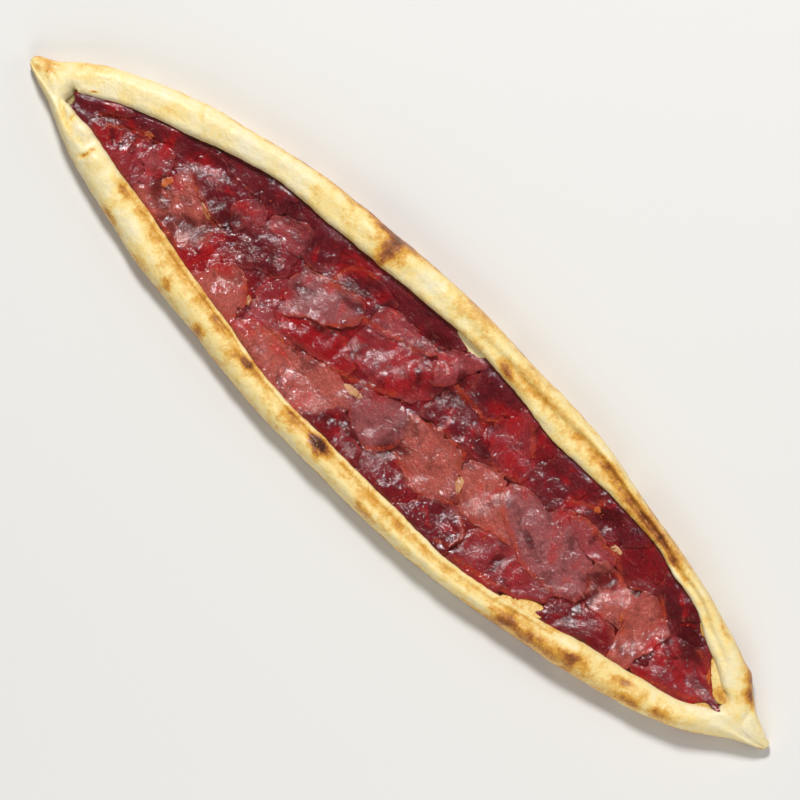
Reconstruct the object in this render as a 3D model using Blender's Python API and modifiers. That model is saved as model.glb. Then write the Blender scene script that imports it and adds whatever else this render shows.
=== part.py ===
"""A Turkish pide: a long boat of baked dough with a rolled rim and pinched tips, full of thin slices of
cured beef laid over one another.

The boat lies along X and rests on Z = 0. Its back rim is on the +Y side and its front rim on the -Y side.
Sizes are in millimetres, measured from the line through the two tips, until a mesh is made in metres.
"""

import math

import bmesh
import bpy
import numpy as np

MM = 0.001

# The dough boat
LENGTH = 520.0
FLOOR = 6.0  # thickness of the dough under the filling
UNDERCUT = 2.6  # how far the rolled rim overhangs the pocket wall
SEAM_DEPTH = 0.8  # crease where the two rims meet at a tip
SEAM_HALF = 0.9
POCKET_START, POCKET_END = -237.0, 229.0
POCKET_SLOPE = 7.0  # length over which the pocket deepens at either end
TIP_LIFT, TIP_LIFT_LENGTH = 1.8, 16.0  # the pinched tips rise a little off the table
# The baked base isn't quite even: it rests on two stretches, this far either side of the middle
REST_AT, REST_HALF = 150.0, 13.0
BASE_RISE, BASE_EASE = 0.3, 20.0
NOSE = 3.6  # rounded last stretch of each tip
TIP_STATIONS = (0.0, 0.5, 1.5, 3.4, 6.5, 10.5, 15.0, 19.0)
SLOPE_STATIONS = (0.0, 0.3, 0.6, 1.0)  # shares of the pocket's end slopes
STATION_STEP = 12.0

# The slices of cured beef
SLICE_THICKNESS = 1.1
AIR = 0.45  # gap kept between a slice and what it lies on
SAG = 0.3  # how far a slice sinks between two smoothings while it is laid
CELL_LENGTH, CELL_WIDTH = 8.0, 7.0  # size of a slice's grid cells
WAVE = 0.6  # height of the soft waves in a slice
RAGGED = 0.07  # unevenness of a slice's outline, as a share of its radius
GRID = 1.0  # spacing of the height map that the slices are laid on
TUCK = 0.9  # how far a lower slice slips under the rim's overhang

# Half outline seen from above: X, front edge, back edge
OUTER_EDGE = (
    (-260, -4.4, 3.0),
    (-250, -7.4, 7.0),
    (-240, -10.6, 15.2),
    (-225, -18.4, 25.2),
    (-205, -26.1, 34.0),
    (-180, -33.1, 42.9),
    (-150, -40.6, 49.8),
    (-110, -46.4, 57.7),
    (-60, -53.7, 61.3),
    (-15, -56.2, 63.0),
    (40, -57.7, 60.1),
    (90, -54.0, 56.7),
    (130, -48.5, 47.1),
    (165, -42.2, 40.5),
    (195, -35.3, 32.5),
    (218, -26.9, 24.2),
    (232, -19.3, 18.2),
    (241, -12.6, 9.3),
    (250, -8.5, 4.8),
    (260, -5.0, 1.6),
)
# Mouth of the pocket, along the rims' inner lips: X, front lip, back lip
INNER_EDGE = (
    (-260, -0.8, 0.2),
    (-237, -1.9, -0.3),
    (-228, -6.0, 3.4),
    (-212, -6.4, 12.0),
    (-195, -11.0, 19.0),
    (-175, -14.2, 25.0),
    (-150, -19.6, 33.2),
    (-120, -26.8, 40.0),
    (-92, -31.6, 41.2),
    (-60, -38.5, 43.0),
    (-10, -41.2, 46.0),
    (15, -42.0, 45.6),
    (45, -42.4, 42.8),
    (66, -43.6, 38.4),
    (100, -39.8, 38.2),
    (140, -30.6, 36.0),
    (158, -25.6, 33.0),
    (166, -24.0, 28.8),
    (182, -21.2, 26.8),
    (200, -16.6, 15.8),
    (216, -12.4, 9.0),
    (229, -2.4, 0.0),
    (260, -1.8, -0.6),
)
# Height of each rim: X, front, back
RIM_HEIGHT = (
    (-260, 7.5, 7.5),
    (-250, 10.5, 10.5),
    (-237, 14.0, 14.5),
    (-222, 15.5, 16.5),
    (-200, 17.0, 18.0),
    (-120, 18.0, 19.5),
    (0, 18.5, 20.0),
    (120, 18.0, 19.0),
    (200, 17.0, 18.0),
    (226, 16.0, 17.0),
    (240, 13.5, 14.0),
    (250, 10.5, 10.5),
    (260, 6.5, 6.5),
)
# Crease of the folded dough: X, depth, distance from the lip
FRONT_FOLD = ((-195, 0.0, 5.0), (-160, 1.7, 5.6), (-100, 1.5, 3.8), (-20, 1.6, 4.4), (30, 2.0, 6.0),
              (90, 1.9, 4.6), (135, 1.5, 4.6), (160, 0.0, 5.0))
BACK_FOLD = ((-30, 0.0, 6.5), (40, 1.4, 7.6), (80, 2.0, 11.6), (120, 2.6, 6.6), (150, 2.8, 3.6),
             (180, 1.8, 4.0), (215, 0.0, 6.0))
# Swellings of the rolled rim: X, side, height, length
LUMPS = ((-222, -1, 1.3, 12), (-193, -1, 1.1, 14), (-57, 1, 1.2, 12), (-17, -1, 0.9, 9), (66, 1, -1.0, 14),
         (182, -1, -0.9, 12), (150, -1, 0.9, 18), (-170, 1, 0.8, 22), (24, 1, 0.8, 24))

# Lower slices, which show in the hollows between the others: X, Y, length, width, turn in degrees
BED = (
    (-209, -2, 30, 13, 14),
    (-164, 0, 48, 30, -8),
    (-119, 0, 44, 34, 10),
    (-87, -5, 54, 36, 66),
    (-73, 35, 42, 15, 4),
    (-30, 2, 54, 30, 0),
    (17, 6, 60, 34, 40),
    (74, 28, 40, 17, -8),
    (75, -24, 38, 28, 0),
    (122, 4, 48, 34, 20),
)
# Upper slices in the order they are laid: X, Y, length, width, turn, height and heading of a curled edge
SLICES = (
    (-194, 14, 38, 13, 22, 0, 0),
    (-219, 1, 28, 11, 20, 0, 0),
    (-200, 0, 25, 14, 24, 1.6, 130),
    (-187, -2, 32, 20, 32, 0, 0),
    (-169, 16, 31, 20, -46, 0, 0),
    (-176, 4, 28, 21, -60, 1.0, 200),
    (-138, 32, 44, 13, 14, 0, 0),
    (-146, -7, 48, 27, -18, 0, 0),
    (-148, 18, 42, 22, -14, 0.8, 250),
    (-131, -16, 30, 17, -12, 0, 0),
    (-101, 34, 32, 15, -2, 0, 0),
    (-119, 32, 24, 19, 62, 1.2, -10),
    (-122, 14, 28, 19, 62, 0.9, 30),
    (-105, 8, 33, 24, 12, 0, 0),
    (-100, 24, 31, 16, 4, 0.6, 80),
    (-107, -18, 32, 23, -50, 1.8, 15),
    (-83, 30, 27, 18, -55, 1.4, 240),
    (-86, -8, 28, 15, -70, 0.8, 200),
    (-48, -28, 68, 27, 2, 0, 0),
    (-48, -8, 58, 19, 5, 0, 0),
    (-76, -16, 28, 13, -4, 0.6, 100),
    (-28, 37, 64, 20, 2, 0, 0),
    (-54, 31, 36, 18, 20, 1.2, 170),
    (-22, 26, 40, 15, 10, 0.8, -80),
    (-14, 9, 52, 28, 8, 0.8, -100),
    (-62, 12, 53, 25, 25, 2.8, -50),
    (-13, -34, 30, 15, -20, 0.8, 150),
    (32, 12, 50, 20, -8, 0, 0),
    (31, -11, 60, 32, -4, 0.8, -90),
    (-3, -16, 33, 28, -30, 1.0, -110),
    (31, 34, 36, 19, -12, 0, 0),
    (5, 34, 27, 13, 33, 1.0, 120),
    (57, 24, 46, 29, -38, 1.0, 40),
    (21, -34, 44, 16, 0, 0.8, 90),
    (66, -7, 48, 24, -24, 0, 0),
    (94, -29, 60, 20, 6, 0, 0),
    (55, -32, 36, 20, -14, 1.6, -35),
    (117, 28, 40, 18, -8, 0.6, 60),
    (88, 24, 32, 24, -52, 1.2, 170),
    (146, -19, 42, 20, 8, 0, 0),
    (104, -3, 72, 29, -12, 1.4, -30),
    (116, 14, 34, 13, -22, 0.8, 70),
    (151, 23, 42, 25, -20, 0.6, -60),
    (143, 1, 42, 22, -33, 0.8, -60),
    (189, 13, 30, 15, -58, 0.6, 30),
    (175, 18, 28, 18, -30, 1.0, 20),
    (204, 0, 46, 23, -12, 0.8, 20),
    (198, -12, 34, 11, 15, 0.8, 250),
    (170, -2, 37, 25, -75, 1.2, 60),
)


# Curves


def through(points, column, x):
    """A smooth curve through a table's rows, read at x: a cubic between each two rows, level past the ends."""
    knots = np.array([row[0] for row in points], float)
    values = np.array([row[column] for row in points], float)
    chords = np.diff(values) / np.diff(knots)
    slopes = np.concatenate(([0.0], (chords[1:] + chords[:-1]) / 2, [0.0]))
    x = np.clip(x, knots[0], knots[-1])
    i = np.clip(np.searchsorted(knots, x) - 1, 0, len(knots) - 2)
    span = knots[i + 1] - knots[i]
    t = (x - knots[i]) / span
    return (
        values[i] * (1 + 2 * t) * (1 - t) ** 2
        + values[i + 1] * t**2 * (3 - 2 * t)
        + slopes[i] * span * t * (1 - t) ** 2
        - slopes[i + 1] * span * t**2 * (1 - t)
    )


def ease(t):
    """0 below 0, 1 above 1, and a smooth step between."""
    t = np.clip(t, 0.0, 1.0)
    return t * t * (3 - 2 * t)


def openness(x):
    """0 where a tip is closed, 1 where the pocket has its full depth."""
    return ease((x - POCKET_START) / POCKET_SLOPE) * ease((POCKET_END - x) / POCKET_SLOPE)


def lumps(x, side):
    """Sum of the swellings of one rim at x."""
    return sum(
        height * math.exp(-(((x - place) / length) ** 2))
        for place, where, height, length in LUMPS
        if where == side
    )


def hand_shaped(x, side):
    """The small unevenness that a hand leaves along a rim."""
    return 0.35 * math.sin(x / 9.5 + side) + 0.3 * math.sin(x / 5.3 + 2.1 * side)


# The dough boat


def lip(x, side):
    """Y of the inner lip of the front (-1) or back (+1) rim; at the tips the two lips meet in a seam."""
    column = 1 if side < 0 else 2
    seam = float(through(INNER_EDGE, 1, x) + through(INNER_EDGE, 2, x)) / 2 + side * SEAM_HALF
    parted = float(through(INNER_EDGE, column, x)) + 0.35 * hand_shaped(1.7 * x, side)
    return seam + (parted - seam) * ease(openness(x) * 3)


def rim_height(x, side):
    """Height of one rim at x without its smallest unevenness."""
    return float(through(RIM_HEIGHT, 1 if side < 0 else 2, x)) + lumps(x, side)


def floor_height(x):
    """Height of the pocket's floor, which rises to the seam at either tip."""
    seam = 0.48 * (rim_height(x, -1) + rim_height(x, 1)) - SEAM_DEPTH
    return FLOOR + (seam - FLOOR) * (1 - openness(x))


def base_height(x):
    """Height of the underside: 0 on the two stretches that the pide rests on, a little more elsewhere."""
    beside = abs(abs(x) - REST_AT) - REST_HALF
    tip = TIP_LIFT * ease(1 - (LENGTH / 2 - abs(x)) / TIP_LIFT_LENGTH)
    return BASE_RISE * ease(beside / BASE_EASE) + tip


def rim_profile(x, side):
    """(Y, Z) points of one rim at station x, from its foot on the table up over the roll to the floor."""
    column = 1 if side < 0 else 2
    outer = float(through(OUTER_EDGE, column, x)) + side * 0.25 * hand_shaped(x, side) * openness(x)
    opened = openness(x)
    inner = lip(x, side)
    width = abs(outer - inner)
    height = rim_height(x, side) + 0.5 * hand_shaped(x, side) * opened
    fold = FRONT_FOLD if side < 0 else BACK_FOLD
    depth = float(through(fold, 1, x))
    crease = min(float(through(fold, 2, x)), 0.6 * width)
    roll = width - crease
    lift = base_height(x)
    floor = floor_height(x)
    under = UNDERCUT * opened
    lip_height = height * (0.96 - 0.22 * opened)
    gap = lip_height - floor
    # Distance outwards from the lip, and height
    shape = (
        (0.82 * width, lift),
        (0.95 * width, lift + 0.13 * (height - lift)),
        (width, 0.38 * height),
        (0.975 * width, 0.62 * height),
        (0.90 * width, 0.81 * height),
        (crease + 0.70 * roll, 0.94 * height),
        (crease + 0.44 * roll, height),
        (crease + 0.18 * roll, 0.985 * height - 0.25 * depth),
        (crease, 0.965 * height - depth),
        (0.66 * crease, 0.945 * height - 0.45 * depth),
        (0.30 * crease, (0.955 - 0.05 * opened) * height - 0.2 * depth),
        (0.0, lip_height),
        (0.45 * under, lip_height - 0.37 * gap),
        (under, floor + 0.24 * gap),
        (0.72 * under, floor),
    )
    return [(inner + side * out, up) for out, up in shape]


def section(x):
    """Closed ring of (Y, Z) points across the boat at station x, back rim first, counter to the clock."""
    back, front = rim_profile(x, 1), rim_profile(x, -1)
    floor = floor_height(x)
    lift = back[0][1]
    back_in, front_in = back[-1][0], front[-1][0]
    across = [(back_in + (front_in - back_in) * share, floor) for share in (0.3, 0.7)]
    foot_back, foot_front = back[0][0], front[0][0]
    under = [(foot_front + (foot_back - foot_front) * share, lift) for share in (0.3, 0.7)]
    ring = np.array(back + across + front[::-1] + under)
    nose = max(0.0, NOSE - (LENGTH / 2 - abs(x))) / NOSE
    centre = ring.mean(axis=0)
    return centre + (ring - centre) * math.sqrt(1 - 0.94 * nose**2)


def stations():
    """X of every section: close together at the tips and where the pocket ends, a steady step between."""
    tips = [LENGTH / 2 - offset for offset in TIP_STATIONS]
    slope = [share * POCKET_SLOPE for share in SLOPE_STATIONS]
    start, end = POCKET_START + POCKET_SLOPE, POCKET_END - POCKET_SLOPE
    between = np.linspace(start, end, round((end - start) / STATION_STEP) + 1)[1:-1]
    near = [POCKET_START + step for step in slope]
    far = [POCKET_END - step for step in reversed(slope)]
    return [-x for x in tips] + near + list(between) + far + tips[::-1]


def make_crust(collection, material, shift):
    """The dough boat: a loft through its sections, closed at both noses."""
    places = stations()
    mesh = bmesh.new()
    rings = [
        [mesh.verts.new((x * MM, (y + shift) * MM, z * MM)) for y, z in section(x)]
        for x in places
    ]
    for ring, following in zip(rings, rings[1:]):
        for i, corner in enumerate(ring):
            after = (i + 1) % len(ring)
            mesh.faces.new((corner, ring[after], following[after], following[i]))
    mesh.faces.new(rings[0][::-1])
    mesh.faces.new(rings[-1])
    bmesh.ops.recalc_face_normals(mesh, faces=mesh.faces)
    return new_object("crust", mesh, collection, material)


# The slices


class HeightMap:
    """Heights of what the next slice lies on, on a square grid over the pocket's floor."""

    def __init__(self):
        self.xs = np.arange(-LENGTH / 2, LENGTH / 2 + GRID, GRID)
        self.ys = np.arange(-LENGTH / 8, LENGTH / 8 + GRID, GRID)
        floor = np.array([floor_height(x) for x in self.xs])
        self.z = np.tile(floor[:, None], (1, len(self.ys)))

    def under(self, triangle):
        """Grid points inside a plan triangle: their indices and their shares of its three corners."""
        low, high = triangle.min(axis=0), triangle.max(axis=0)
        i = np.arange(*np.searchsorted(self.xs, (low[0], high[0])))
        j = np.arange(*np.searchsorted(self.ys, (low[1], high[1])))
        i, j = (a.ravel() for a in np.meshgrid(i, j, indexing="ij"))
        sides = np.column_stack((triangle[1] - triangle[0], triangle[2] - triangle[0]))
        if not len(i) or abs(np.linalg.det(sides)) < 1e-6:
            return i[:0], j[:0], np.empty((0, 3))
        points = np.column_stack((self.xs[i], self.ys[j])) - triangle[0]
        two = points @ np.linalg.inv(sides).T
        shares = np.column_stack((1 - two.sum(axis=1), two))
        inside = (shares > -1e-9).all(axis=1)
        return i[inside], j[inside], shares[inside]

    def at(self, points, ground):
        """Heights of a ground on this grid, read at the grid points nearest to plan points."""
        i = np.clip(np.rint((points[:, 0] - self.xs[0]) / GRID).astype(int), 0, len(self.xs) - 1)
        j = np.clip(np.rint((points[:, 1] - self.ys[0]) / GRID).astype(int), 0, len(self.ys) - 1)
        return ground[i, j]

    def clearance(self):
        """Highest point within a grid step, so that an edge between two grid points counts."""
        padded = np.pad(self.z, 1, mode="edge")
        rows, columns = self.z.shape
        shifted = [padded[a : a + rows, b : b + columns] for a in range(3) for b in range(3)]
        return np.max(shifted, axis=0)

    def cover(self, points, triangles):
        """Raise the map to the top of a mesh laid on it."""
        for corners in triangles:
            i, j, shares = self.under(points[corners, :2])
            np.maximum.at(self.z, (i, j), shares @ points[corners, 2])


def wall_limits(x, tuck):
    """Lowest and highest Y that a slice may reach at x."""
    return lip(x, -1) - tuck, lip(x, 1) + tuck


def soft_limit(value, limit, side):
    """Value kept on the inner side of a limit, bending over the last few millimetres."""
    give = 1.6
    beyond = side * (value - limit)
    return limit - side * give * np.logaddexp(0, -beyond / give)


def slice_plan(place, random, tuck):
    """Plan points of an uneven oval slice on a square grid, with each point's place on the unit disc."""
    x, y, length, width, turn = place
    across = max(2, round(width / CELL_WIDTH))
    along = max(3, round(length / CELL_LENGTH))
    waves = [(k, RAGGED * random.uniform(0.5, 1.3), random.uniform(0, math.tau)) for k in (2, 3, 5)]
    cos, sin = math.cos(math.radians(turn)), math.sin(math.radians(turn))
    plan, disc = [], []
    for a in np.linspace(-1, 1, along + 1):
        for b in np.linspace(-1, 1, across + 1):
            u, v = a * math.sqrt(1 - b * b / 2), b * math.sqrt(1 - a * a / 2)
            angle = math.atan2(v, u)
            ragged = 1 + sum(size * math.cos(k * angle + phase) for k, size, phase in waves)
            p, q = ragged * u * length / 2, ragged * v * width / 2
            px, py = x + p * cos - q * sin, y + p * sin + q * cos
            px = min(max(px, POCKET_START + 6), POCKET_END - 6)
            front, back = wall_limits(px, tuck)
            plan.append((px, soft_limit(soft_limit(py, front, -1), back, 1)))
            disc.append((u, v))
    return np.array(plan), np.array(disc), along, across


def drape(heights, plan, triangles, neighbours):
    """Heights of plan points so that the faces between them just clear the map, drawn smooth."""
    samples = [(corners, *heights.under(plan[corners])) for corners in triangles]
    corners = np.concatenate([np.tile(c, (len(s[1]), 1)) for c, s in zip(triangles, samples)])
    ground = heights.clearance()
    floor = np.concatenate([ground[i, j] for _, i, j, _ in samples]) + AIR
    shares = np.concatenate([s[3] for s in samples])
    weight = shares / (shares**2).sum(axis=1, keepdims=True)
    lowest = heights.at(plan, ground) + AIR
    z = lowest.copy()
    for step in range(160):
        if step < 40:
            z = 0.6 * z + 0.4 * np.array([z[near].mean() for near in neighbours]) - SAG
        short = np.maximum(floor - (shares * z[corners]).sum(axis=1), 0)
        raised = np.zeros(len(plan))
        np.maximum.at(raised, corners, weight * short[:, None])
        z = np.maximum(z + raised, lowest)
        if step >= 40 and short.max() < 0.005:
            break
    return z


def make_slice(name, place, curl, random, heights, tuck, collection, material, shift):
    """One slice laid on the heap: an uneven oval sheet, thickened upwards by Solidify."""
    plan, disc, along, across = slice_plan(place, random, tuck)
    mesh = bmesh.new()
    bmesh.ops.create_grid(mesh, x_segments=along, y_segments=across, size=1)
    # create_grid counts along X first; the plan counts across first
    order = sorted(mesh.verts, key=lambda v: (round(v.co.x, 4), round(v.co.y, 4)))
    place_of = {corner: i for i, corner in enumerate(order)}
    triangles = []
    for face in mesh.faces:
        a, b, c, d = (place_of[corner] for corner in face.verts)
        triangles += [(a, b, c), (a, c, d)]
    neighbours = [[place_of[e.other_vert(v)] for e in v.link_edges] for v in order]
    z = drape(heights, plan, np.array(triangles), neighbours)
    inside = 1 - (disc**2).sum(axis=1)
    phase = random.uniform(0, math.tau, 2)
    ripple = np.sin(plan[:, 0] / 5.5 + phase[0]) * np.sin(plan[:, 1] / 4.5 + phase[1])
    z += WAVE * (1 + ripple) / 2 * np.clip(inside * 2, 0, 1)
    height, heading = curl
    outwards = math.radians(heading)
    turned = math.radians(place[4])
    pointed = disc @ (math.cos(outwards - turned), math.sin(outwards - turned))
    z += height * ease((pointed - 0.35) / 0.65)
    for corner, (x, y), up in zip(order, plan, z):
        corner.co = (x * MM, (y + shift) * MM, up * MM)
    bmesh.ops.triangulate(mesh, faces=mesh.faces)
    bmesh.ops.recalc_face_normals(mesh, faces=mesh.faces)
    if sum(face.normal.z for face in mesh.faces) < 0:
        bmesh.ops.reverse_faces(mesh, faces=mesh.faces)
    made = new_object(name, mesh, collection, material)
    thick = made.modifiers.new("thickness", "SOLIDIFY")
    thick.thickness = SLICE_THICKNESS * MM
    thick.offset = 1
    cover_with(heights, made, shift)
    return made


def cover_with(heights, made, shift):
    """Raise the height map to the top of a finished slice."""
    bpy.context.view_layer.update()
    seen = made.evaluated_get(bpy.context.evaluated_depsgraph_get()).to_mesh()
    seen.calc_loop_triangles()
    points = np.array([v.co for v in seen.vertices]) / MM - (0, shift, 0)
    heights.cover(points, [tuple(t.vertices) for t in seen.loop_triangles])


# Blender objects and materials


def new_object(name, mesh, collection, material):
    """Finish a bmesh as a smooth-shaded object of the collection."""
    data = bpy.data.meshes.new(name)
    mesh.to_mesh(data)
    mesh.free()
    data.shade_smooth()
    data.materials.append(material)
    made = bpy.data.objects.new(name, data)
    collection.objects.link(made)
    return made


def new_material(name, colour, roughness):
    """A plain Principled material."""
    material = bpy.data.materials.new(name)
    material.use_nodes = True
    shader = material.node_tree.nodes["Principled BSDF"]
    shader.inputs["Base Color"].default_value = (*colour, 1)
    shader.inputs["Roughness"].default_value = roughness
    shader.inputs["Metallic"].default_value = 0.0
    return material


def main():
    for old in list(bpy.data.objects):
        bpy.data.objects.remove(old)
    pide = bpy.data.collections.new("pide")
    bpy.context.scene.collection.children.link(pide)
    dough = new_material("baked_dough", (0.82, 0.60, 0.30), 0.6)
    beef = new_material("cured_beef", (0.30, 0.03, 0.03), 0.3)

    edges = [rim_profile(x, side)[2][0] for x in stations() for side in (-1, 1)]
    shift = -(max(edges) + min(edges)) / 2
    make_crust(pide, dough, shift)

    random = np.random.default_rng(7)
    heights = HeightMap()
    for number, place in enumerate(BED, 1):
        make_slice(f"bed_{number:02d}", place, (0, 0), random, heights, TUCK, pide, beef, shift)
    for number, (*place, height, heading) in enumerate(SLICES, 1):
        curl = (height, heading)
        make_slice(f"slice_{number:02d}", place, curl, random, heights, 0.0, pide, beef, shift)


main()
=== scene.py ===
"""Turkish pide: a long boat of baked dough with a rolled rim, full of thin slices of cured beef.

The boat lies along X, its back rim on the +Y side, and rests on Z = 0. Places are in millimetres from the middle of
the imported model's box, and meshes are made in metres.
"""

import itertools
import logging
import math
from dataclasses import dataclass, field
from enum import Enum
from typing import Any, Sequence

import bpy
import numpy as np
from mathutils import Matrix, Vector
from mathutils.bvhtree import BVHTree


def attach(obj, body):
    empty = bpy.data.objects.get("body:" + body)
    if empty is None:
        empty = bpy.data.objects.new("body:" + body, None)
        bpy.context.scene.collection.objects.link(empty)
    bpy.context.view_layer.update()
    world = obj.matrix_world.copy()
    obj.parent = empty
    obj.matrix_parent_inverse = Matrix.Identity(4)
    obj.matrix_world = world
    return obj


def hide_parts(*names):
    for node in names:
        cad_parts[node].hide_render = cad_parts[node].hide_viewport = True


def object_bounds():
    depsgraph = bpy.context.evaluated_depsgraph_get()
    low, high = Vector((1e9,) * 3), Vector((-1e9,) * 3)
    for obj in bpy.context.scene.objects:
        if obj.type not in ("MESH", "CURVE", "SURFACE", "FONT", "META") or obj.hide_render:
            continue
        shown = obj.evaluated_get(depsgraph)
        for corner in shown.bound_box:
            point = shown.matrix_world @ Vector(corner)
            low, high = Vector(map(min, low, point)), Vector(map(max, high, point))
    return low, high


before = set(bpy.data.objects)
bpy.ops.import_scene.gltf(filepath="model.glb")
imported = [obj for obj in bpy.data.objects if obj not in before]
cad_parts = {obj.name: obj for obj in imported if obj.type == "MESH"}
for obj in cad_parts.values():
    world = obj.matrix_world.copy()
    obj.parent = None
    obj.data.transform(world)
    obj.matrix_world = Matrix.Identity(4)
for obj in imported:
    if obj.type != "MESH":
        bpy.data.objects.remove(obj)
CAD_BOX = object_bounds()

LOG = logging.getLogger("turkish_pide")
MM = 0.001
AXIS = -2.653  # Y of the line through the two tips
Colour = tuple[float, float, float, float]


# Numbers and noise


def paint(red: float, green: float, blue: float) -> Colour:
    """Linear colour of a paint whose levels are given from 0 to 255."""
    levels = [value / 255 for value in (red, green, blue)]
    linear = [v / 12.92 if v <= 0.04045 else ((v + 0.055) / 1.055) ** 2.4 for v in levels]
    return (*linear, 1.0)


def ease(values: np.ndarray, start: float = 0.0, end: float = 1.0) -> np.ndarray:
    """Smooth step from 0 at start to 1 at end."""
    t = np.clip((np.asarray(values, float) - start) / (end - start), 0.0, 1.0)
    return t * t * (3 - 2 * t)


def bell(values: np.ndarray, middle: float, width: float) -> np.ndarray:
    """A rounded hump, 1 at the middle and 0.37 at a width from it."""
    return np.exp(-(((values - middle) / width) ** 2))


def grain_noise(points: np.ndarray, size: float, seed: int) -> np.ndarray:
    """Smooth repeatable noise.

    Args:
        points: one row for each point, in millimetres.
        size: width of one swelling, in millimetres.
        seed: picks the pattern.

    Returns:
        A value between -1 and 1 for each point.
    """
    scaled = np.asarray(points, float) / size + seed * 7.31
    cells = np.floor(scaled)
    share = scaled - cells
    share = share**3 * (share * (share * 6 - 15) + 10)
    steps = np.array([127.1, 311.7, 74.7])[: scaled.shape[1]]
    total = np.zeros(len(scaled))
    for corner in itertools.product((0, 1), repeat=scaled.shape[1]):
        pick = np.array(corner)
        wave = np.sin((cells + pick) @ steps + seed * 17.3) * 43758.5453
        weight = np.prod(np.where(pick == 1, share, 1 - share), axis=1)
        total += weight * (2 * (wave - np.floor(wave)) - 1)
    return total


def layered_noise(points: np.ndarray, size: float, seed: int, layers: int = 3) -> np.ndarray:
    """Sum of noises, each half as wide and half as strong as the one before, between about -1 and 1."""
    parts = [grain_noise(points, size / 2**i, seed + 13 * i) / 2**i for i in range(layers)]
    return sum(parts) / 1.3


def pairs(x: np.ndarray, y: np.ndarray) -> np.ndarray:
    """One row of X and Y for each point of a grid."""
    return np.stack((x.ravel(), y.ravel()), axis=1)


def soft_least(values: np.ndarray, limit: np.ndarray, width: float) -> np.ndarray:
    """The lesser of values and limit, with a rounded corner of about that width."""
    return limit - np.logaddexp(0, (limit - values) / width) * width + 0.0


# Meshes


def welded(node: str) -> tuple[np.ndarray, np.ndarray]:
    """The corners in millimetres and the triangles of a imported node, with its doubles merged."""
    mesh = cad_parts[node].data
    mesh.calc_loop_triangles()
    corners = np.zeros(len(mesh.vertices) * 3, np.float32)
    mesh.vertices.foreach_get("co", corners)
    triangles = np.zeros(len(mesh.loop_triangles) * 3, np.int32)
    mesh.loop_triangles.foreach_get("vertices", triangles)
    keys = np.round(corners.reshape(-1, 3).astype(float) / MM, 3)
    merged, index = np.unique(keys, axis=0, return_inverse=True)
    triangles = index.reshape(-1)[triangles].reshape(-1, 3)
    return merged, triangles


def fill_mesh(name: str, corners: np.ndarray, faces: Sequence[Sequence[int]]) -> bpy.types.Object:
    """A linked object whose mesh has these corners, in millimetres, and these faces."""
    mesh = bpy.data.meshes.new(name)
    mesh.from_pydata((np.asarray(corners) * MM).tolist(), [], faces)
    mesh.polygons.foreach_set("use_smooth", np.ones(len(mesh.polygons), bool))
    mesh.update()
    made = bpy.data.objects.new(name, mesh)
    bpy.context.scene.collection.objects.link(made)
    return made


def closed_sheet(x: np.ndarray, y: np.ndarray, top: np.ndarray, under: np.ndarray) -> tuple[np.ndarray, np.ndarray]:
    """A sheet between two levels over one grid, closed round its edge.

    Args:
        x: places of the grid's points along the boat.
        y: their places across it.
        top: the sheet's upper level at each of them.
        under: its lower level.

    Returns:
        The corners, the upper ones first, and the faces.
    """
    corners = np.vstack([np.stack((x, y, level), axis=-1).reshape(-1, 3) for level in (top, under)])
    index = np.arange(x.size).reshape(x.shape)
    quads = np.stack((index[:-1, :-1], index[1:, :-1], index[1:, 1:], index[:-1, 1:]), axis=-1).reshape(-1, 4)
    rim = np.concatenate((index[:-1, 0], index[-1, :-1], index[:0:-1, -1], index[0, :0:-1]))
    after = np.roll(rim, -1)
    side = np.stack((rim + x.size, after + x.size, after, rim), axis=-1)
    return corners, np.vstack((quads, quads[:, ::-1] + x.size, side))


def set_values(made: bpy.types.Object, name: str, values: np.ndarray) -> None:
    """Stores a number, a vector or a colour on each corner of a mesh, by the width of values."""
    width = 1 if values.ndim == 1 else values.shape[1]
    kind, key = {1: ("FLOAT", "value"), 3: ("FLOAT_VECTOR", "vector"), 4: ("FLOAT_COLOR", "color")}[width]
    stored = made.data.attributes.get(name) or made.data.attributes.new(name, kind, "POINT")
    stored.data.foreach_set(key, np.ascontiguousarray(values, np.float32).reshape(-1))


def corners_of(made: bpy.types.Object) -> np.ndarray:
    """Corners of a mesh in millimetres."""
    flat = np.zeros(len(made.data.vertices) * 3, np.float32)
    made.data.vertices.foreach_get("co", flat)
    return flat.reshape(-1, 3).astype(float) / MM


def keep_in_box(made: bpy.types.Object) -> None:
    """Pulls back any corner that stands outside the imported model's box."""
    low, high = (np.array(corner) / MM for corner in CAD_BOX)
    kept = np.clip(corners_of(made), low, high) * MM
    made.data.vertices.foreach_set("co", kept.astype(np.float32).reshape(-1))
    made.data.update()


# Node trees


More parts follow.
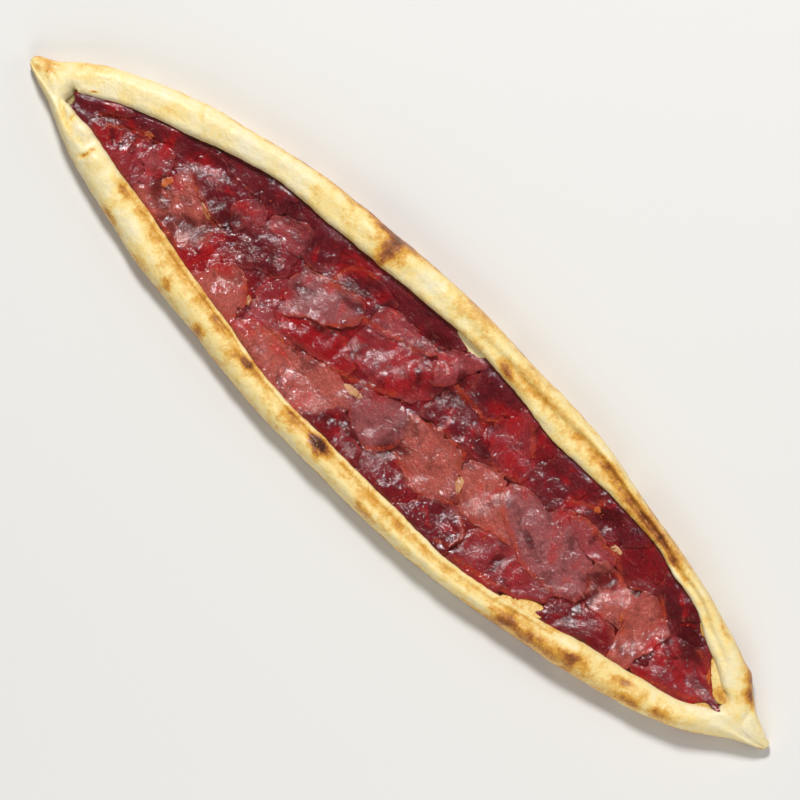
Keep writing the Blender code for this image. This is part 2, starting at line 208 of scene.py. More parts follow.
class Tree:
    """Writes a node tree; each method adds one node and gives back its output."""

    def __init__(self, tree: bpy.types.NodeTree) -> None:
        """Starts on an empty tree."""
        self.tree = tree
        self.tree.nodes.clear()

    def add(self, kind: str, inputs: dict[Any, Any] | None = None, **settings: Any) -> bpy.types.Node:
        """Adds a node.

        Args:
            kind: the node's type name.
            inputs: a value or an output to link for each input, by name or number.
            settings: the node's own properties.

        Returns:
            The node.
        """
        node = self.tree.nodes.new(kind)
        for key, value in settings.items():
            setattr(node, key, value)
        for key, value in (inputs or {}).items():
            self.join(node.inputs[key], value)
        return node

    def join(self, socket: bpy.types.NodeSocket, value: Any) -> None:
        """Links an output to a socket, or sets the socket's own value."""
        if isinstance(value, bpy.types.NodeSocket):
            self.tree.links.new(value, socket)
        else:
            socket.default_value = value

    def sum(self, operation: str, *terms: Any) -> bpy.types.NodeSocket:
        """One step of arithmetic on numbers."""
        return self.add("ShaderNodeMath", dict(enumerate(terms)), operation=operation).outputs[0]

    def vector(self, operation: str, *terms: Any) -> bpy.types.NodeSocket:
        """One step of arithmetic on vectors."""
        return self.add("ShaderNodeVectorMath", dict(enumerate(terms)), operation=operation).outputs[0]

    def scaled(self, vector: Any, factor: Any) -> bpy.types.NodeSocket:
        """A vector times a number."""
        return self.add("ShaderNodeVectorMath", {0: vector, 3: factor}, operation="SCALE").outputs[0]

    def mix(self, share: Any, first: Any, second: Any, blend: str = "MIX") -> bpy.types.NodeSocket:
        """A mix of two colours."""
        node = self.add("ShaderNodeMix", {0: share, 6: first, 7: second}, data_type="RGBA", blend_type=blend)
        return node.outputs[2]

    def noise(self, where: Any, size: float, detail: float = 2.0, rough: float = 0.5,
              warp: float = 0.0, seed: float = 0.0) -> bpy.types.NodeSocket:
        """Noise whose swellings are about size metres wide."""
        inputs = {"Vector": where, "Scale": 1 / size, "Detail": detail, "Roughness": rough,
                  "Distortion": warp, "W": seed}
        return self.add("ShaderNodeTexNoise", inputs, noise_dimensions="4D").outputs[0]

    def span(self, value: Any, start: Any, end: Any, low: Any = 0.0, high: Any = 1.0,
             smooth: bool = True) -> bpy.types.NodeSocket:
        """Carries the range from start to end over to the range from low to high."""
        kind = "SMOOTHSTEP" if smooth else "LINEAR"
        inputs = {0: value, 1: start, 2: end, 3: low, 4: high}
        return self.add("ShaderNodeMapRange", inputs, interpolation_type=kind).outputs[0]

    def ramp(self, value: Any, stops: Sequence[tuple[float, Colour]]) -> bpy.types.NodeSocket:
        """A colour ramp through these stops."""
        node = self.add("ShaderNodeValToRGB", {0: value})
        band = node.color_ramp.elements
        while len(band) < len(stops):
            band.new(0.5)
        for element, (place, colour) in zip(band, stops):
            element.position, element.color = place, colour
        return node.outputs[0]

    def place(self) -> bpy.types.NodeSocket:
        """Where on the object the shader is."""
        return self.add("ShaderNodeTexCoord").outputs["Object"]

    def stored(self, name: str, kind: str = "Fac") -> bpy.types.NodeSocket:
        """A value stored on the mesh."""
        return self.add("ShaderNodeAttribute", attribute_name=name).outputs[kind]

    def bump(self, height: Any, strength: float, depth: float, under: Any = None) -> bpy.types.NodeSocket:
        """A bumped normal from a height between 0 and 1 that stands for depth metres."""
        inputs = {"Height": height, "Strength": strength, "Distance": depth}
        if under is not None:
            inputs["Normal"] = under
        return self.add("ShaderNodeBump", inputs).outputs[0]


def new_material(name: str) -> tuple[bpy.types.Material, Tree]:
    """A material with an empty node tree, and the writer of that tree."""
    made = bpy.data.materials.new(name)
    made.use_nodes = True
    return made, Tree(made.node_tree)


def finish_material(tree: Tree, **inputs: Any) -> None:
    """Ends a material's tree in a principled shader with these inputs, their spaces written as underscores."""
    named = {key.replace("_", " "): value for key, value in inputs.items()}
    shader = tree.add("ShaderNodeBsdfPrincipled", named)
    tree.add("ShaderNodeOutputMaterial", {"Surface": shader.outputs[0]})


@dataclass
class Recipe:
    """A geometry node tree with named inputs, applied to an object as a plain mesh."""

    name: str
    inputs: dict[str, str] = field(default_factory=dict)

    def start(self) -> tuple[bpy.types.NodeTree, Tree, bpy.types.Node]:
        """Makes the tree with its named inputs.

        Returns:
            The tree, its writer, and the node that gives the inputs.
        """
        group = bpy.data.node_groups.new(self.name, "GeometryNodeTree")
        group.interface.new_socket("Geometry", in_out="INPUT", socket_type="NodeSocketGeometry")
        for name, kind in self.inputs.items():
            group.interface.new_socket(name, in_out="INPUT", socket_type=f"NodeSocket{kind}")
        group.interface.new_socket("Geometry", in_out="OUTPUT", socket_type="NodeSocketGeometry")
        tree = Tree(group)
        return group, tree, tree.add("NodeGroupInput")

    def close(self, tree: Tree, shape: Any, material: Any) -> None:
        """Ends the tree: everything made real, with its material."""
        real = tree.add("GeometryNodeRealizeInstances", {0: shape}).outputs[0]
        smooth = tree.add("GeometryNodeSetShadeSmooth", {"Geometry": real}).outputs[0]
        dressed = tree.add("GeometryNodeSetMaterial", {"Geometry": smooth, "Material": material}).outputs[0]
        tree.add("NodeGroupOutput", {0: dressed})

    def apply(self, group: bpy.types.NodeTree, base: bpy.types.Object, name: str,
              **values: Any) -> bpy.types.Object:
        """Runs the tree on a mesh.

        Args:
            group: the finished tree.
            base: object whose mesh goes in; it is removed.
            name: name of the piece that comes out.
            values: the tree's inputs, their spaces written as underscores.

        Returns:
            A new object with the plain mesh.
        """
        modifier = base.modifiers.new(self.name, "NODES")
        modifier.node_group = group
        sockets = {item.name: item.identifier for item in group.interface.items_tree
                   if item.in_out == "INPUT"}
        for key, value in values.items():
            modifier[sockets[key.replace("_", " ")]] = value
        bpy.context.view_layer.update()
        seen = base.evaluated_get(bpy.context.evaluated_depsgraph_get())
        mesh = bpy.data.meshes.new_from_object(seen)
        base.modifiers.clear()
        bpy.data.objects.remove(base)
        mesh.name = name
        made = bpy.data.objects.new(name, mesh)
        bpy.context.scene.collection.objects.link(made)
        return made


# Finishes


@dataclass(frozen=True)
class BakedDough:
    """Dough from pale flour through gold to dark brown, by the toast stored on its mesh."""

    flour: Colour = paint(238, 226, 194)
    cream: Colour = paint(241, 224, 172)
    pale_gold: Colour = paint(241, 213, 138)
    gold: Colour = paint(219, 161, 62)
    brown: Colour = paint(160, 92, 38)
    dark: Colour = paint(78, 40, 28)

    def material(self) -> bpy.types.Material:
        """Builds the material."""
        made, tree = new_material("baked_dough")
        where = tree.place()
        toast = tree.stored("toast")
        broad = tree.noise(where, 0.016, 3, 0.55, 0.6, 1.0)
        blotch = tree.noise(where, 0.0055, 3, 0.6, 0.8, 2.0)
        fine = tree.noise(where, 0.0012, 3, 0.6, 0.3, 3.0)
        shift = tree.sum("ADD", tree.span(broad, 0.3, 0.7, -0.12, 0.12), tree.span(blotch, 0.3, 0.7, -0.08, 0.08))
        shift = tree.sum("ADD", shift, tree.span(fine, 0.3, 0.7, -0.045, 0.045))
        baked = tree.sum("ADD", toast, shift)
        stops = ((0.05, self.flour), (0.27, self.cream), (0.45, self.pale_gold), (0.62, self.gold),
                 (0.8, self.brown), (1.0, self.dark))
        colour = tree.ramp(baked, stops)
        flecks = tree.span(tree.noise(where, 0.0009, 2, 0.6, 0.0, 4.0), 0.62, 0.7, 0.0, 0.35)
        colour = tree.mix(flecks, colour, self.pale_gold)
        juice = tree.stored("juice")
        colour = tree.mix(juice, colour, paint(96, 30, 22))
        rough = tree.span(tree.noise(where, 0.007, 2, 0.5, 0.3, 5.0), 0.35, 0.65, 0.42, 0.62)
        pores = tree.noise(where, 0.0016, 4, 0.62, 0.2, 6.0)
        skin = tree.noise(where, 0.006, 3, 0.55, 0.4, 7.0)
        normal = tree.bump(skin, 0.6, 0.0018)
        normal = tree.bump(pores, 0.6, 0.0006, normal)
        finish_material(tree, Base_Color=colour, Roughness=rough, Normal=normal, Subsurface_Weight=0.12,
                        Subsurface_Radius=(1.0, 0.6, 0.3), Subsurface_Scale=0.002, Coat_Weight=0.2,
                        Coat_Roughness=0.35)
        return made


@dataclass(frozen=True)
class CuredBeef:
    """Thin cured beef: dark red meat with grain, pale marbling, a wet film and baked orange edges, with pale mottling
    and specks partly painted in as sheen and glints.
    """

    edge: Colour = paint(182, 62, 34)
    marble: Colour = paint(206, 128, 116)
    dark: Colour = paint(52, 8, 16)
    bright: Colour = paint(176, 18, 20)

    def material(self) -> bpy.types.Material:
        """Builds the material."""
        made, tree = new_material("cured_beef")
        where = tree.place()
        tone = tree.stored("tone", "Color")
        along = tree.stored("grain", "Vector")
        fibre = tree.noise(tree.vector("MULTIPLY", along, (0.3, 1.0, 1.0)), 0.0017, 3, 0.6, 0.8, 1.0)
        broad = tree.noise(where, 0.011, 3, 0.55, 0.8, 2.0)
        blotch = tree.noise(where, 0.0038, 3, 0.6, 0.6, 3.0)
        fine = tree.noise(where, 0.0011, 3, 0.65, 0.2, 4.0)
        colour = tree.mix(tree.span(broad, 0.5, 0.68, 0.0, 0.5), tone, self.dark)
        colour = tree.mix(tree.span(broad, 0.45, 0.3, 0.0, 0.45), colour, self.bright)
        colour = tree.mix(tree.span(blotch, 0.56, 0.72, 0.0, 0.35), colour, self.dark)
        pale = tree.sum("MULTIPLY", tree.span(fibre, 0.54, 0.72, 0.0, 0.4), tree.stored("marbling"))
        colour = tree.mix(pale, colour, self.marble)
        # pale mottling on marbled slices: partly the meat's own, partly a painted sheen
        painted_sheen_mottle = tree.sum("MULTIPLY", tree.span(fine, 0.4, 0.68, 0.0, 0.6), tree.stored("marbling"))
        colour = tree.mix(tree.sum("MINIMUM", painted_sheen_mottle, 0.45), colour,
                          tree.mix(1.0, colour, (1.7, 1.6, 1.6, 1.0), "MULTIPLY"))
        # pale specks in clusters: painted glints of the wet surface, standing also for flecks of fat
        painted_glint_specks = tree.span(tree.noise(where, 0.0006, 2, 0.6, 0.0, 11.0), 0.5, 0.66, 0.0, 0.7)
        glint_cluster = tree.span(tree.noise(where, 0.008, 2, 0.5, 0.3, 12.0), 0.44, 0.6, 0.2, 1.0)
        painted_glint_specks = tree.sum("MULTIPLY", painted_glint_specks, glint_cluster)
        colour = tree.mix(painted_glint_specks, colour, tree.mix(1.0, colour, (2.0, 2.7, 2.7, 1.0), "MULTIPLY"))
        baked = tree.sum("MULTIPLY", tree.stored("edge"), tree.span(blotch, 0.3, 0.6, 0.25, 1.0))
        colour = tree.mix(baked, colour, self.edge)
        rough = tree.span(tree.noise(where, 0.0045, 3, 0.6, 0.5, 5.0), 0.35, 0.65, 0.32, 0.5)
        grains = tree.noise(where, 0.0015, 3, 0.6, 0.2, 6.0)
        soft = tree.noise(where, 0.0034, 3, 0.55, 0.4, 7.0)
        patches = tree.span(tree.noise(where, 0.009, 2, 0.5, 0.3, 8.0), 0.38, 0.62, 0.35, 1.0)
        grains = tree.sum("MULTIPLY", grains, patches)
        normal = tree.bump(soft, 0.8, 0.0012)
        normal = tree.bump(fibre, 0.7, 0.0006, normal)
        normal = tree.bump(grains, 0.8, 0.0008, normal)
        grit = tree.noise(where, 0.0008, 2, 0.6, 0.0, 10.0)
        wet = tree.bump(grains, 0.8, 0.0007, tree.bump(fibre, 0.35, 0.0005, tree.bump(soft, 0.7, 0.0009)))
        wet = tree.bump(grit, 0.6, 0.00035, wet)
        film = tree.span(tree.noise(where, 0.0012, 3, 0.65, 0.8, 9.0), 0.41, 0.53, 0.1, 1.0)
        finish_material(tree, Base_Color=colour, Roughness=rough, Normal=normal, Subsurface_Weight=0.1,
                        Subsurface_Radius=(1.0, 0.25, 0.15), Subsurface_Scale=0.0012, Specular_IOR_Level=0.08,
                        Coat_Weight=film, Coat_Roughness=0.05, Coat_Normal=wet, Coat_IOR=1.7)
        return made


@dataclass(frozen=True)
class SpicePaste:
    """Crumbs of red spice paste, from orange to dark red."""

    light: Colour = paint(196, 84, 38)
    deep: Colour = paint(122, 26, 18)

    def material(self) -> bpy.types.Material:
        """Builds the material."""
        made, tree = new_material("spice_paste")
        where = tree.place()
        colour = tree.mix(tree.span(tree.noise(where, 0.004, 2), 0.35, 0.65), self.deep, self.light)
        normal = tree.bump(tree.noise(where, 0.0006, 3), 0.5, 0.0002)
        finish_material(tree, Base_Color=colour, Roughness=0.4, Normal=normal, Coat_Weight=0.3)
        return made


@dataclass(frozen=True)
class SoftFat:
    """Small bits of fat and melted cheese, cream to amber by the tone stored on them."""

    def material(self) -> bpy.types.Material:
        """Builds the material."""
        made, tree = new_material("soft_fat")
        where = tree.place()
        tone = tree.stored("tone", "Color")
        stain = tree.span(tree.noise(where, 0.003, 3, 0.6, 0.5), 0.5, 0.75, 0.0, 0.5)
        colour = tree.mix(stain, tone, paint(176, 92, 48))
        normal = tree.bump(tree.noise(where, 0.0011, 3, 0.6), 0.5, 0.0004)
        finish_material(tree, Base_Color=colour, Roughness=0.3, Normal=normal, Subsurface_Weight=0.2,
                        Subsurface_Radius=(1.0, 0.7, 0.4), Subsurface_Scale=0.0015, Coat_Weight=0.4,
                        Coat_Roughness=0.15)
        return made


@dataclass(frozen=True)
class PaleFloor:
    """Plain pale floor."""

    colour: Colour = paint(226, 224, 220)

    def material(self) -> bpy.types.Material:
        """Builds the material."""
        made, tree = new_material("pale_floor")
        finish_material(tree, Base_Color=self.colour, Roughness=0.85)
        return made


# The dough boat

RING = 34  # points of one packed cross-section, back foot first, counter to the clock
BACK_LIP, FRONT_LIP = 11, 20
BACK_SIDE, FRONT_SIDE = 2, 29


class Rim(Enum):
    """The two rims."""

    FRONT = -1
    BACK = 1


@dataclass(frozen=True)
class Spot:
    """An oval place on the pide: its middle, half sizes and turn."""

    x: float
    y: float
    length: float
    width: float
    turn: float

    def away(self, x: np.ndarray, y: np.ndarray) -> np.ndarray:
        """Square of how far from its middle each place lies: 1 on the oval."""
        turn = math.radians(self.turn)
        dx, dy = x - self.x, y - self.y - AXIS
        along = (dx * math.cos(turn) + dy * math.sin(turn)) / self.length
        across = (dy * math.cos(turn) - dx * math.sin(turn)) / self.width
        return along**2 + across**2


@dataclass(frozen=True)
class Mark(Spot):
    """A round or long mark on the dough, its toast, and how far it swells; a few pale marks are painted highlights."""

    toast: float
    rise: float = 0.0
    strength: float = 1.0

    def share(self, points: np.ndarray) -> np.ndarray:
        """How much of the mark each point carries, from 0 to 1, with an uneven border."""
        uneven = 1 + 0.35 * layered_noise(points[:, :2], 5.0, int(self.x) % 97)
        return np.exp(-1.1 * self.away(points[:, 0], points[:, 1]) * uneven**2)


def line_gap(x: np.ndarray, y: np.ndarray, corners: Sequence[Sequence[float]]) -> np.ndarray:
    """Distance from each place to a bent line."""
    line, gap = np.array(corners, float) + (0, AXIS), np.full(np.shape(x), 1e9)
    for start, end in zip(line, line[1:]):
        step = end - start
        t = np.clip(((x - start[0]) * step[0] + (y - start[1]) * step[1]) / (step @ step), 0.0, 1.0)
        gap = np.minimum(gap, np.hypot(x - start[0] - t * step[0], y - start[1] - t * step[1]))
    return gap


@dataclass(frozen=True)
class Crease:
    """A fold line in the dough: its points, depth, half width, and toast in it, which darkens the fold as browning and
    as painted shade.
    """

    points: tuple[tuple[float, float], ...]
    depth: float
    width: float
    toast: float
    strength: float = 0.7

    def share(self, points: np.ndarray) -> np.ndarray:
        """How deep in the fold each point lies, from 0 to 1."""
        line = np.array(self.points, float) + (0, AXIS)
        nearest = line_gap(points[:, 0], points[:, 1], self.points)
        wander = 0.7 * layered_noise(points[:, :2], 6.0, 31)
        ends = [np.linalg.norm(points[:, :2] - line[i], axis=1) for i in (0, -1)]
        fade = ease(np.minimum(*ends), 0.0, 3.0 * self.width)
        return bell(nearest + wander * 0.5, 0, self.width) * (0.35 + 0.65 * fade)


# Toast along each rim: X, outer edge, roll, fold, lip
BACK_TOAST = (
    (-260, 0.55, 0.50, 0.45, 0.45), (-250, 0.60, 0.50, 0.50, 0.45), (-240, 0.50, 0.38, 0.42, 0.35),
    (-222, 0.48, 0.30, 0.25, 0.25), (-200, 0.48, 0.28, 0.34, 0.22), (-180, 0.50, 0.25, 0.28, 0.22),
    (-150, 0.55, 0.24, 0.26, 0.30), (-125, 0.62, 0.28, 0.34, 0.32), (-100, 0.66, 0.34, 0.38, 0.36),
    (-75, 0.75, 0.42, 0.40, 0.36), (-57, 0.85, 0.60, 0.60, 0.45), (-40, 0.68, 0.40, 0.42, 0.36),
    (-15, 0.62, 0.44, 0.44, 0.38), (10, 0.55, 0.42, 0.42, 0.38), (30, 0.55, 0.44, 0.56, 0.36),
    (60, 0.55, 0.42, 0.58, 0.36), (90, 0.52, 0.48, 0.60, 0.38), (115, 0.55, 0.52, 0.66, 0.44),
    (140, 0.60, 0.58, 0.80, 0.55), (160, 0.60, 0.55, 0.72, 0.35), (180, 0.60, 0.46, 0.50, 0.28),
    (200, 0.58, 0.40, 0.36, 0.28), (218, 0.58, 0.38, 0.30, 0.28), (230, 0.70, 0.58, 0.35, 0.28),
    (238, 0.70, 0.55, 0.30, 0.25), (246, 0.50, 0.34, 0.28, 0.26), (260, 0.45, 0.26, 0.26, 0.26),
)
FRONT_TOAST = (
    (-260, 0.50, 0.42, 0.42, 0.42), (-248, 0.55, 0.45, 0.40, 0.38), (-235, 0.50, 0.34, 0.22, 0.20),
    (-215, 0.50, 0.24, 0.16, 0.16), (-200, 0.52, 0.30, 0.26, 0.22), (-185, 0.52, 0.34, 0.42, 0.36),
    (-165, 0.55, 0.32, 0.52, 0.55), (-140, 0.58, 0.42, 0.58, 0.60), (-110, 0.60, 0.45, 0.60, 0.60),
    (-80, 0.58, 0.46, 0.62, 0.56), (-50, 0.50, 0.42, 0.60, 0.46), (-15, 0.48, 0.42, 0.60, 0.44),
    (20, 0.46, 0.42, 0.58, 0.42), (60, 0.46, 0.42, 0.58, 0.44), (95, 0.52, 0.44, 0.56, 0.50),
    (120, 0.62, 0.50, 0.52, 0.48), (150, 0.62, 0.54, 0.50, 0.42), (175, 0.58, 0.50, 0.46, 0.40),
    (200, 0.55, 0.44, 0.40, 0.36), (222, 0.55, 0.34, 0.30, 0.28), (240, 0.52, 0.34, 0.30, 0.28),
    (260, 0.42, 0.26, 0.26, 0.26),
)
MARKS = (
    Mark(-57, 56, 4.0, 11.0, 4, 0.95, 0.3), Mark(-66, 60, 10.0, 3.0, 6, 0.85), Mark(-50, 57, 5.0, 5.0, 0, 0.7),
    Mark(-17, -45, 6.4, 3.4, -2, 1.1, 1.4, 1.5), Mark(-72, -40, 4.2, 2.6, -10, 1.0, 0.7, 1.5),
    Mark(-101, -45, 5.0, 3.0, 10, 0.78), Mark(-130, -38, 5.5, 3.0, -20, 0.72), Mark(-175, -33, 6.0, 3.0, -20, 0.72),
    Mark(-178, -18, 4.0, 2.6, -20, 0.74), Mark(-191, 27, 8.0, 3.5, 24, 0.46), Mark(25, -54, 8.0, 2.4, -4, 0.64),
    Mark(30, 47.6, 6.0, 2.6, -6, 0.74), Mark(118, -46, 7.0, 3.4, 14, 0.86), Mark(134, -42, 9.0, 3.0, 20, 0.74),
    Mark(150, -38, 8.0, 4.5, 24, 0.84), Mark(141, -44, 8.0, 3.0, 20, 0.74), Mark(130, -43, 5.0, 3.0, 0, 0.8),
    Mark(183, -27, 6.0, 2.6, 16, 0.8), Mark(190, -33, 7.0, 3.0, 20, 0.74), Mark(205, -27, 6.0, 2.6, 24, 0.7),
    Mark(235, 13, 6.0, 3.2, -40, 0.84), Mark(229, 18, 6.0, 2.4, -24, 0.76), Mark(143, 40.5, 12.0, 2.4, -12, 0.9),
    Mark(-224, 9, 2.6, 0.6, 30, 0.9), Mark(-250, 1, 6.0, 4.0, 0, 0.6), Mark(-140, 44, 14.0, 5.0, 12, 0.18),
    Mark(-218, -11, 12.0, 3.0, -12, 0.1), Mark(-196, -19, 8.0, 4.0, -20, 0.2), Mark(-165, -29, 7.0, 4.0, -16, 0.24),
    # painted highlights: the pale marks at X -45, Y 57 and X -30, Y 54 on the back rim
    Mark(165, 30, 5.0, 1.8, -20, 0.14), Mark(90, 54.5, 14.0, 2.2, -8, 0.3), Mark(-45, 57, 5.0, 3.0, 0, 0.3),
    Mark(-30, 54, 6.0, 3.5, 0, 0.24), Mark(0, 52, 9.0, 3.0, 0, 0.28), Mark(150, -32, 8.0, 2.0, 20, 0.3),
    Mark(222, -8, 12.0, 3.0, 35, 0.2), Mark(248, -4, 8.0, 3.5, 0, 0.16), Mark(204, 27, 8.0, 2.0, -25, 0.62),
    Mark(64, 52, 8.0, 2.6, -4, 0.62), Mark(106, 47.5, 14.0, 1.8, -10, 0.7), Mark(185, 20, 6.0, 3.0, -30, 0.5),
)
# Folds in the dough; the toast in each is partly browning and partly painted shade in the fold
CREASES = (
    Crease(((-178, 42.5), (-176, 38), (-173, 34.5)), 1.2, 0.9, 0.5, 0.7),
    Crease(((-202.5, -11.5), (-204.5, -14), (-205, -18), (-207.5, -22)), 2.0, 0.9, 0.74, 1.0),
    Crease(((-222, -5.5), (-223.5, -9), (-221, -12.5)), 1.4, 1.0, 0.52, 0.8),
    Crease(((-236, -4), (-231, -8.5), (-226, -11.5), (-219, -14)), 1.2, 1.1, 0.46, 0.8),
    Crease(((-214, -14.5), (-208, -15.5)), 1.0, 1.0, 0.46, 0.8),
    Crease(((180, 29), (190, 25), (203, 20.5), (215, 15)), 0.7, 1.1, 0.55, 0.5),
    Crease(((243, -10), (246, -11.5), (249, -12)), 0.8, 0.9, 0.45),
    Crease(((74, 50), (95, 47.5), (115, 44.5), (130, 42), (142, 39.5)), 0.9, 1.3, 0.72, 0.8),
    Crease(((239, 8), (241, 4), (241.5, -3)), 0.9, 1.6, 0.3, 0.3),
    Crease(((-243, -0.5), (-248, 2.5), (-253, 2.0)), 0.6, 1.0, 0.55, 0.5),
)
# Swellings of the dough: X, Y, half length, half width, height
SWELLS = (
    (-228, -8.0, 5, 2.8, 2.2), (-215, -10.0, 5.5, 3, 2.6), (-198, -15, 6, 4, 2.4), (-187, -17, 5, 4, 1.4),
    (-17, -42.5, 7, 2.6, 1.1), (-222, -12, 1.8, 4, -0.8), (-208, -12, 1.8, 4, -0.8),
    (-66, 54, 5, 7, 0.7), (-48, 55, 5, 6, 0.6), (66, 41, 9, 2.5, -0.8), (52, 42, 5, 2.5, 0.6),
    (80, 40.5, 5, 2.4, 0.7), (164, 30, 5, 2.2, 0.9), (229, 12, 6, 6, 0.7), (250, -2, 5, 4, 0.5),
    (-172, 38, 5, 6, 0.5), (-182, 35, 5, 6, 0.4), (110, -43, 6, 4, 0.4), (152, -36, 8, 4, 0.5),
)


@dataclass
class DoughBoat:
    """The baked dough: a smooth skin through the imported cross-sections, with folds, blisters and small relief."""

    step: float = 1.0
    wall_step: float = 1.6
    floor_step: float = 4.0
    base_step: float = 7.0
    lump_size: float = 0.013
    lump_height: float = 0.0010
    grain_size: float = 0.0036
    grain_height: float = 0.00042
    finish: BakedDough = field(default_factory=BakedDough)

    def __post_init__(self) -> None:
        """Builds the dough's material."""
        self.material = self.finish.material()

    def rings(self) -> np.ndarray:
        """Reads the cross-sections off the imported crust.

        Returns:
            An array of stations by RING points by X, Y, Z, each ring starting at its back foot.
        """
        points, triangles = welded("crust")
        sorted_x = np.sort(points[:, 0])
        places = sorted_x[np.concatenate(([True], np.diff(sorted_x) > 0.1))]
        station = np.abs(points[:, 0][:, None] - places).argmin(1)
        beside: dict[int, set[int]] = {}
        for triangle in triangles[np.ptp(station[triangles], axis=1) > 0]:
            for a, b in itertools.combinations(triangle, 2):
                if station[a] == station[b]:
                    beside.setdefault(int(a), set()).add(int(b))
                    beside.setdefault(int(b), set()).add(int(a))
        rings = []
        for number in range(len(places)):
            own = np.flatnonzero(station == number)
            half = len(own) // 2
            chains = []
            for widest in (own[np.argmax(points[own, 1])], own[np.argmin(points[own, 1])]):
                both = sorted(beside[int(widest)], key=lambda n: points[n, 2])
                down, over = [int(widest), both[0]], [int(widest), both[-1]]
                for walk, steps in ((down, 2), (over, half - 3)):
                    while len(walk) < steps + 1:
                        onward = [n for n in beside[walk[-1]] if n not in walk]
                        onward = onward or [int(n) for n in own if n not in walk]
                        gaps = [np.linalg.norm(points[n] - points[walk[-1]]) for n in onward]
                        walk.append(onward[int(np.argmin(gaps))])
                chains.append(points[down[:0:-1] + over])
            rings.append(self.complete(chains[0], chains[1][::-1]))
        return np.array(rings)

    @staticmethod
    def complete(back: np.ndarray, front: np.ndarray) -> np.ndarray:
        """Joins the two halves of a cross-section and puts back the points that lay on straight runs.

        Args:
            back: 13 or 15 points, from the back foot over the rim to the floor.
            front: as many, from the floor over the front rim to its foot.

        Returns:
            The cross-section, RING points counter to the clock.
        """

        def between(first: np.ndarray, second: np.ndarray, *shares: float) -> list[np.ndarray]:
            """Points on the straight run between two points."""
            return [first + (second - first) * share for share in shares]

        near, far = list(back), list(front)
        if len(near) == 13:
            near[12:12] = between(near[11], near[12], 0.37, 0.76)
            far[1:1] = between(far[1], far[0], 0.37, 0.76)[::-1]
        floor, base = between(near[-1], far[0], 0.3, 0.7), between(far[-1], near[0], 0.3, 0.7)
        return np.array(near + floor + far + base)

    @staticmethod
    def weights(places: np.ndarray, count: int, closed: bool) -> np.ndarray:
        """Weights of a smooth curve's control points.

        Args:
            places: where on the curve, counted in control points.
            count: number of control points.
            closed: whether the curve is a ring; an open one ends on its last points.

        Returns:
            One row of weights for each place.
        """
        base = np.floor(places).astype(int)
        t = places - base
        shares = ((1 - t) ** 3 / 6, (3 * t**3 - 6 * t**2 + 4) / 6,
                  (-3 * t**3 + 3 * t**2 + 3 * t + 1) / 6, t**3 / 6)
        matrix = np.zeros((len(places), count))
        rows = np.arange(len(places))
        for offset, share in zip((-1, 0, 1, 2), shares):
            index = base + offset
            if closed:
                np.add.at(matrix, (rows, index % count), share)
                continue
            for past, edge, inner in ((index < 0, 0, 1), (index > count - 1, count - 1, count - 2)):
                np.add.at(matrix, (rows[past], np.full(past.sum(), edge)), 2 * share[past])
                np.add.at(matrix, (rows[past], np.full(past.sum(), inner)), -share[past])
            inside = (index >= 0) & (index < count)
            np.add.at(matrix, (rows[inside], index[inside]), share[inside])
        return matrix

    def skin(self) -> None:
        """Lays a dense smooth grid through the rings and keeps it, with each point's lane round the ring."""
        rings = self.rings()
        count = len(rings)
        own_x, own_ring = np.arange(count, dtype=float), np.arange(RING, dtype=float)
        across = self.weights(own_ring, RING, True)
        length = self.weights(own_x, count, False)
        control = rings.copy()
        for _ in range(2):
            control = control + 0.75 * (rings - np.einsum("ij,jkc,lk->ilc", length, control, across))
        spans = np.linalg.norm(np.roll(rings, -1, axis=1) - rings, axis=2)
        spans = np.median(spans, axis=0)
        lanes = []
        for i, span in enumerate(spans):
            wall = BACK_LIP <= i < BACK_LIP + 3 or FRONT_LIP - 3 <= i < FRONT_LIP
            step = self.wall_step if wall else self.step
            step = self.floor_step if BACK_LIP + 3 <= i < FRONT_LIP - 3 else step
            step = self.base_step if i >= 31 else step
            pieces = max(1, round(span / step))
            lanes.extend(i + np.arange(pieces) / pieces)
        self.lanes = np.array(lanes)
        fine = np.linspace(0, count - 1, 6001)
        way = self.weights(fine, count, False) @ control[:, :, 0].mean(axis=1)
        way = np.maximum.accumulate(way)
        ends = np.array([0.0, 0.15, 0.4, 0.8, 1.3, 2.0, 2.8, 3.7, 4.7])
        half = rings[-1, 0, 0]
        inner = np.linspace(-half + 5.7, half - 5.7, int(2 * (half - 5.7) / self.step) + 1)
        places = np.concatenate((-half + ends, inner, half - ends[::-1]))
        along = np.interp(places, way, fine)
        along[0], along[-1] = 0.0, count - 1.0
        self.grid = np.einsum("ij,jkc,lk->ilc", self.weights(along, count, False), control,
                              self.weights(self.lanes, RING, True))
        self.pinch()
        LOG.info("crust skin: %d stations by %d points", *self.grid.shape[:2])

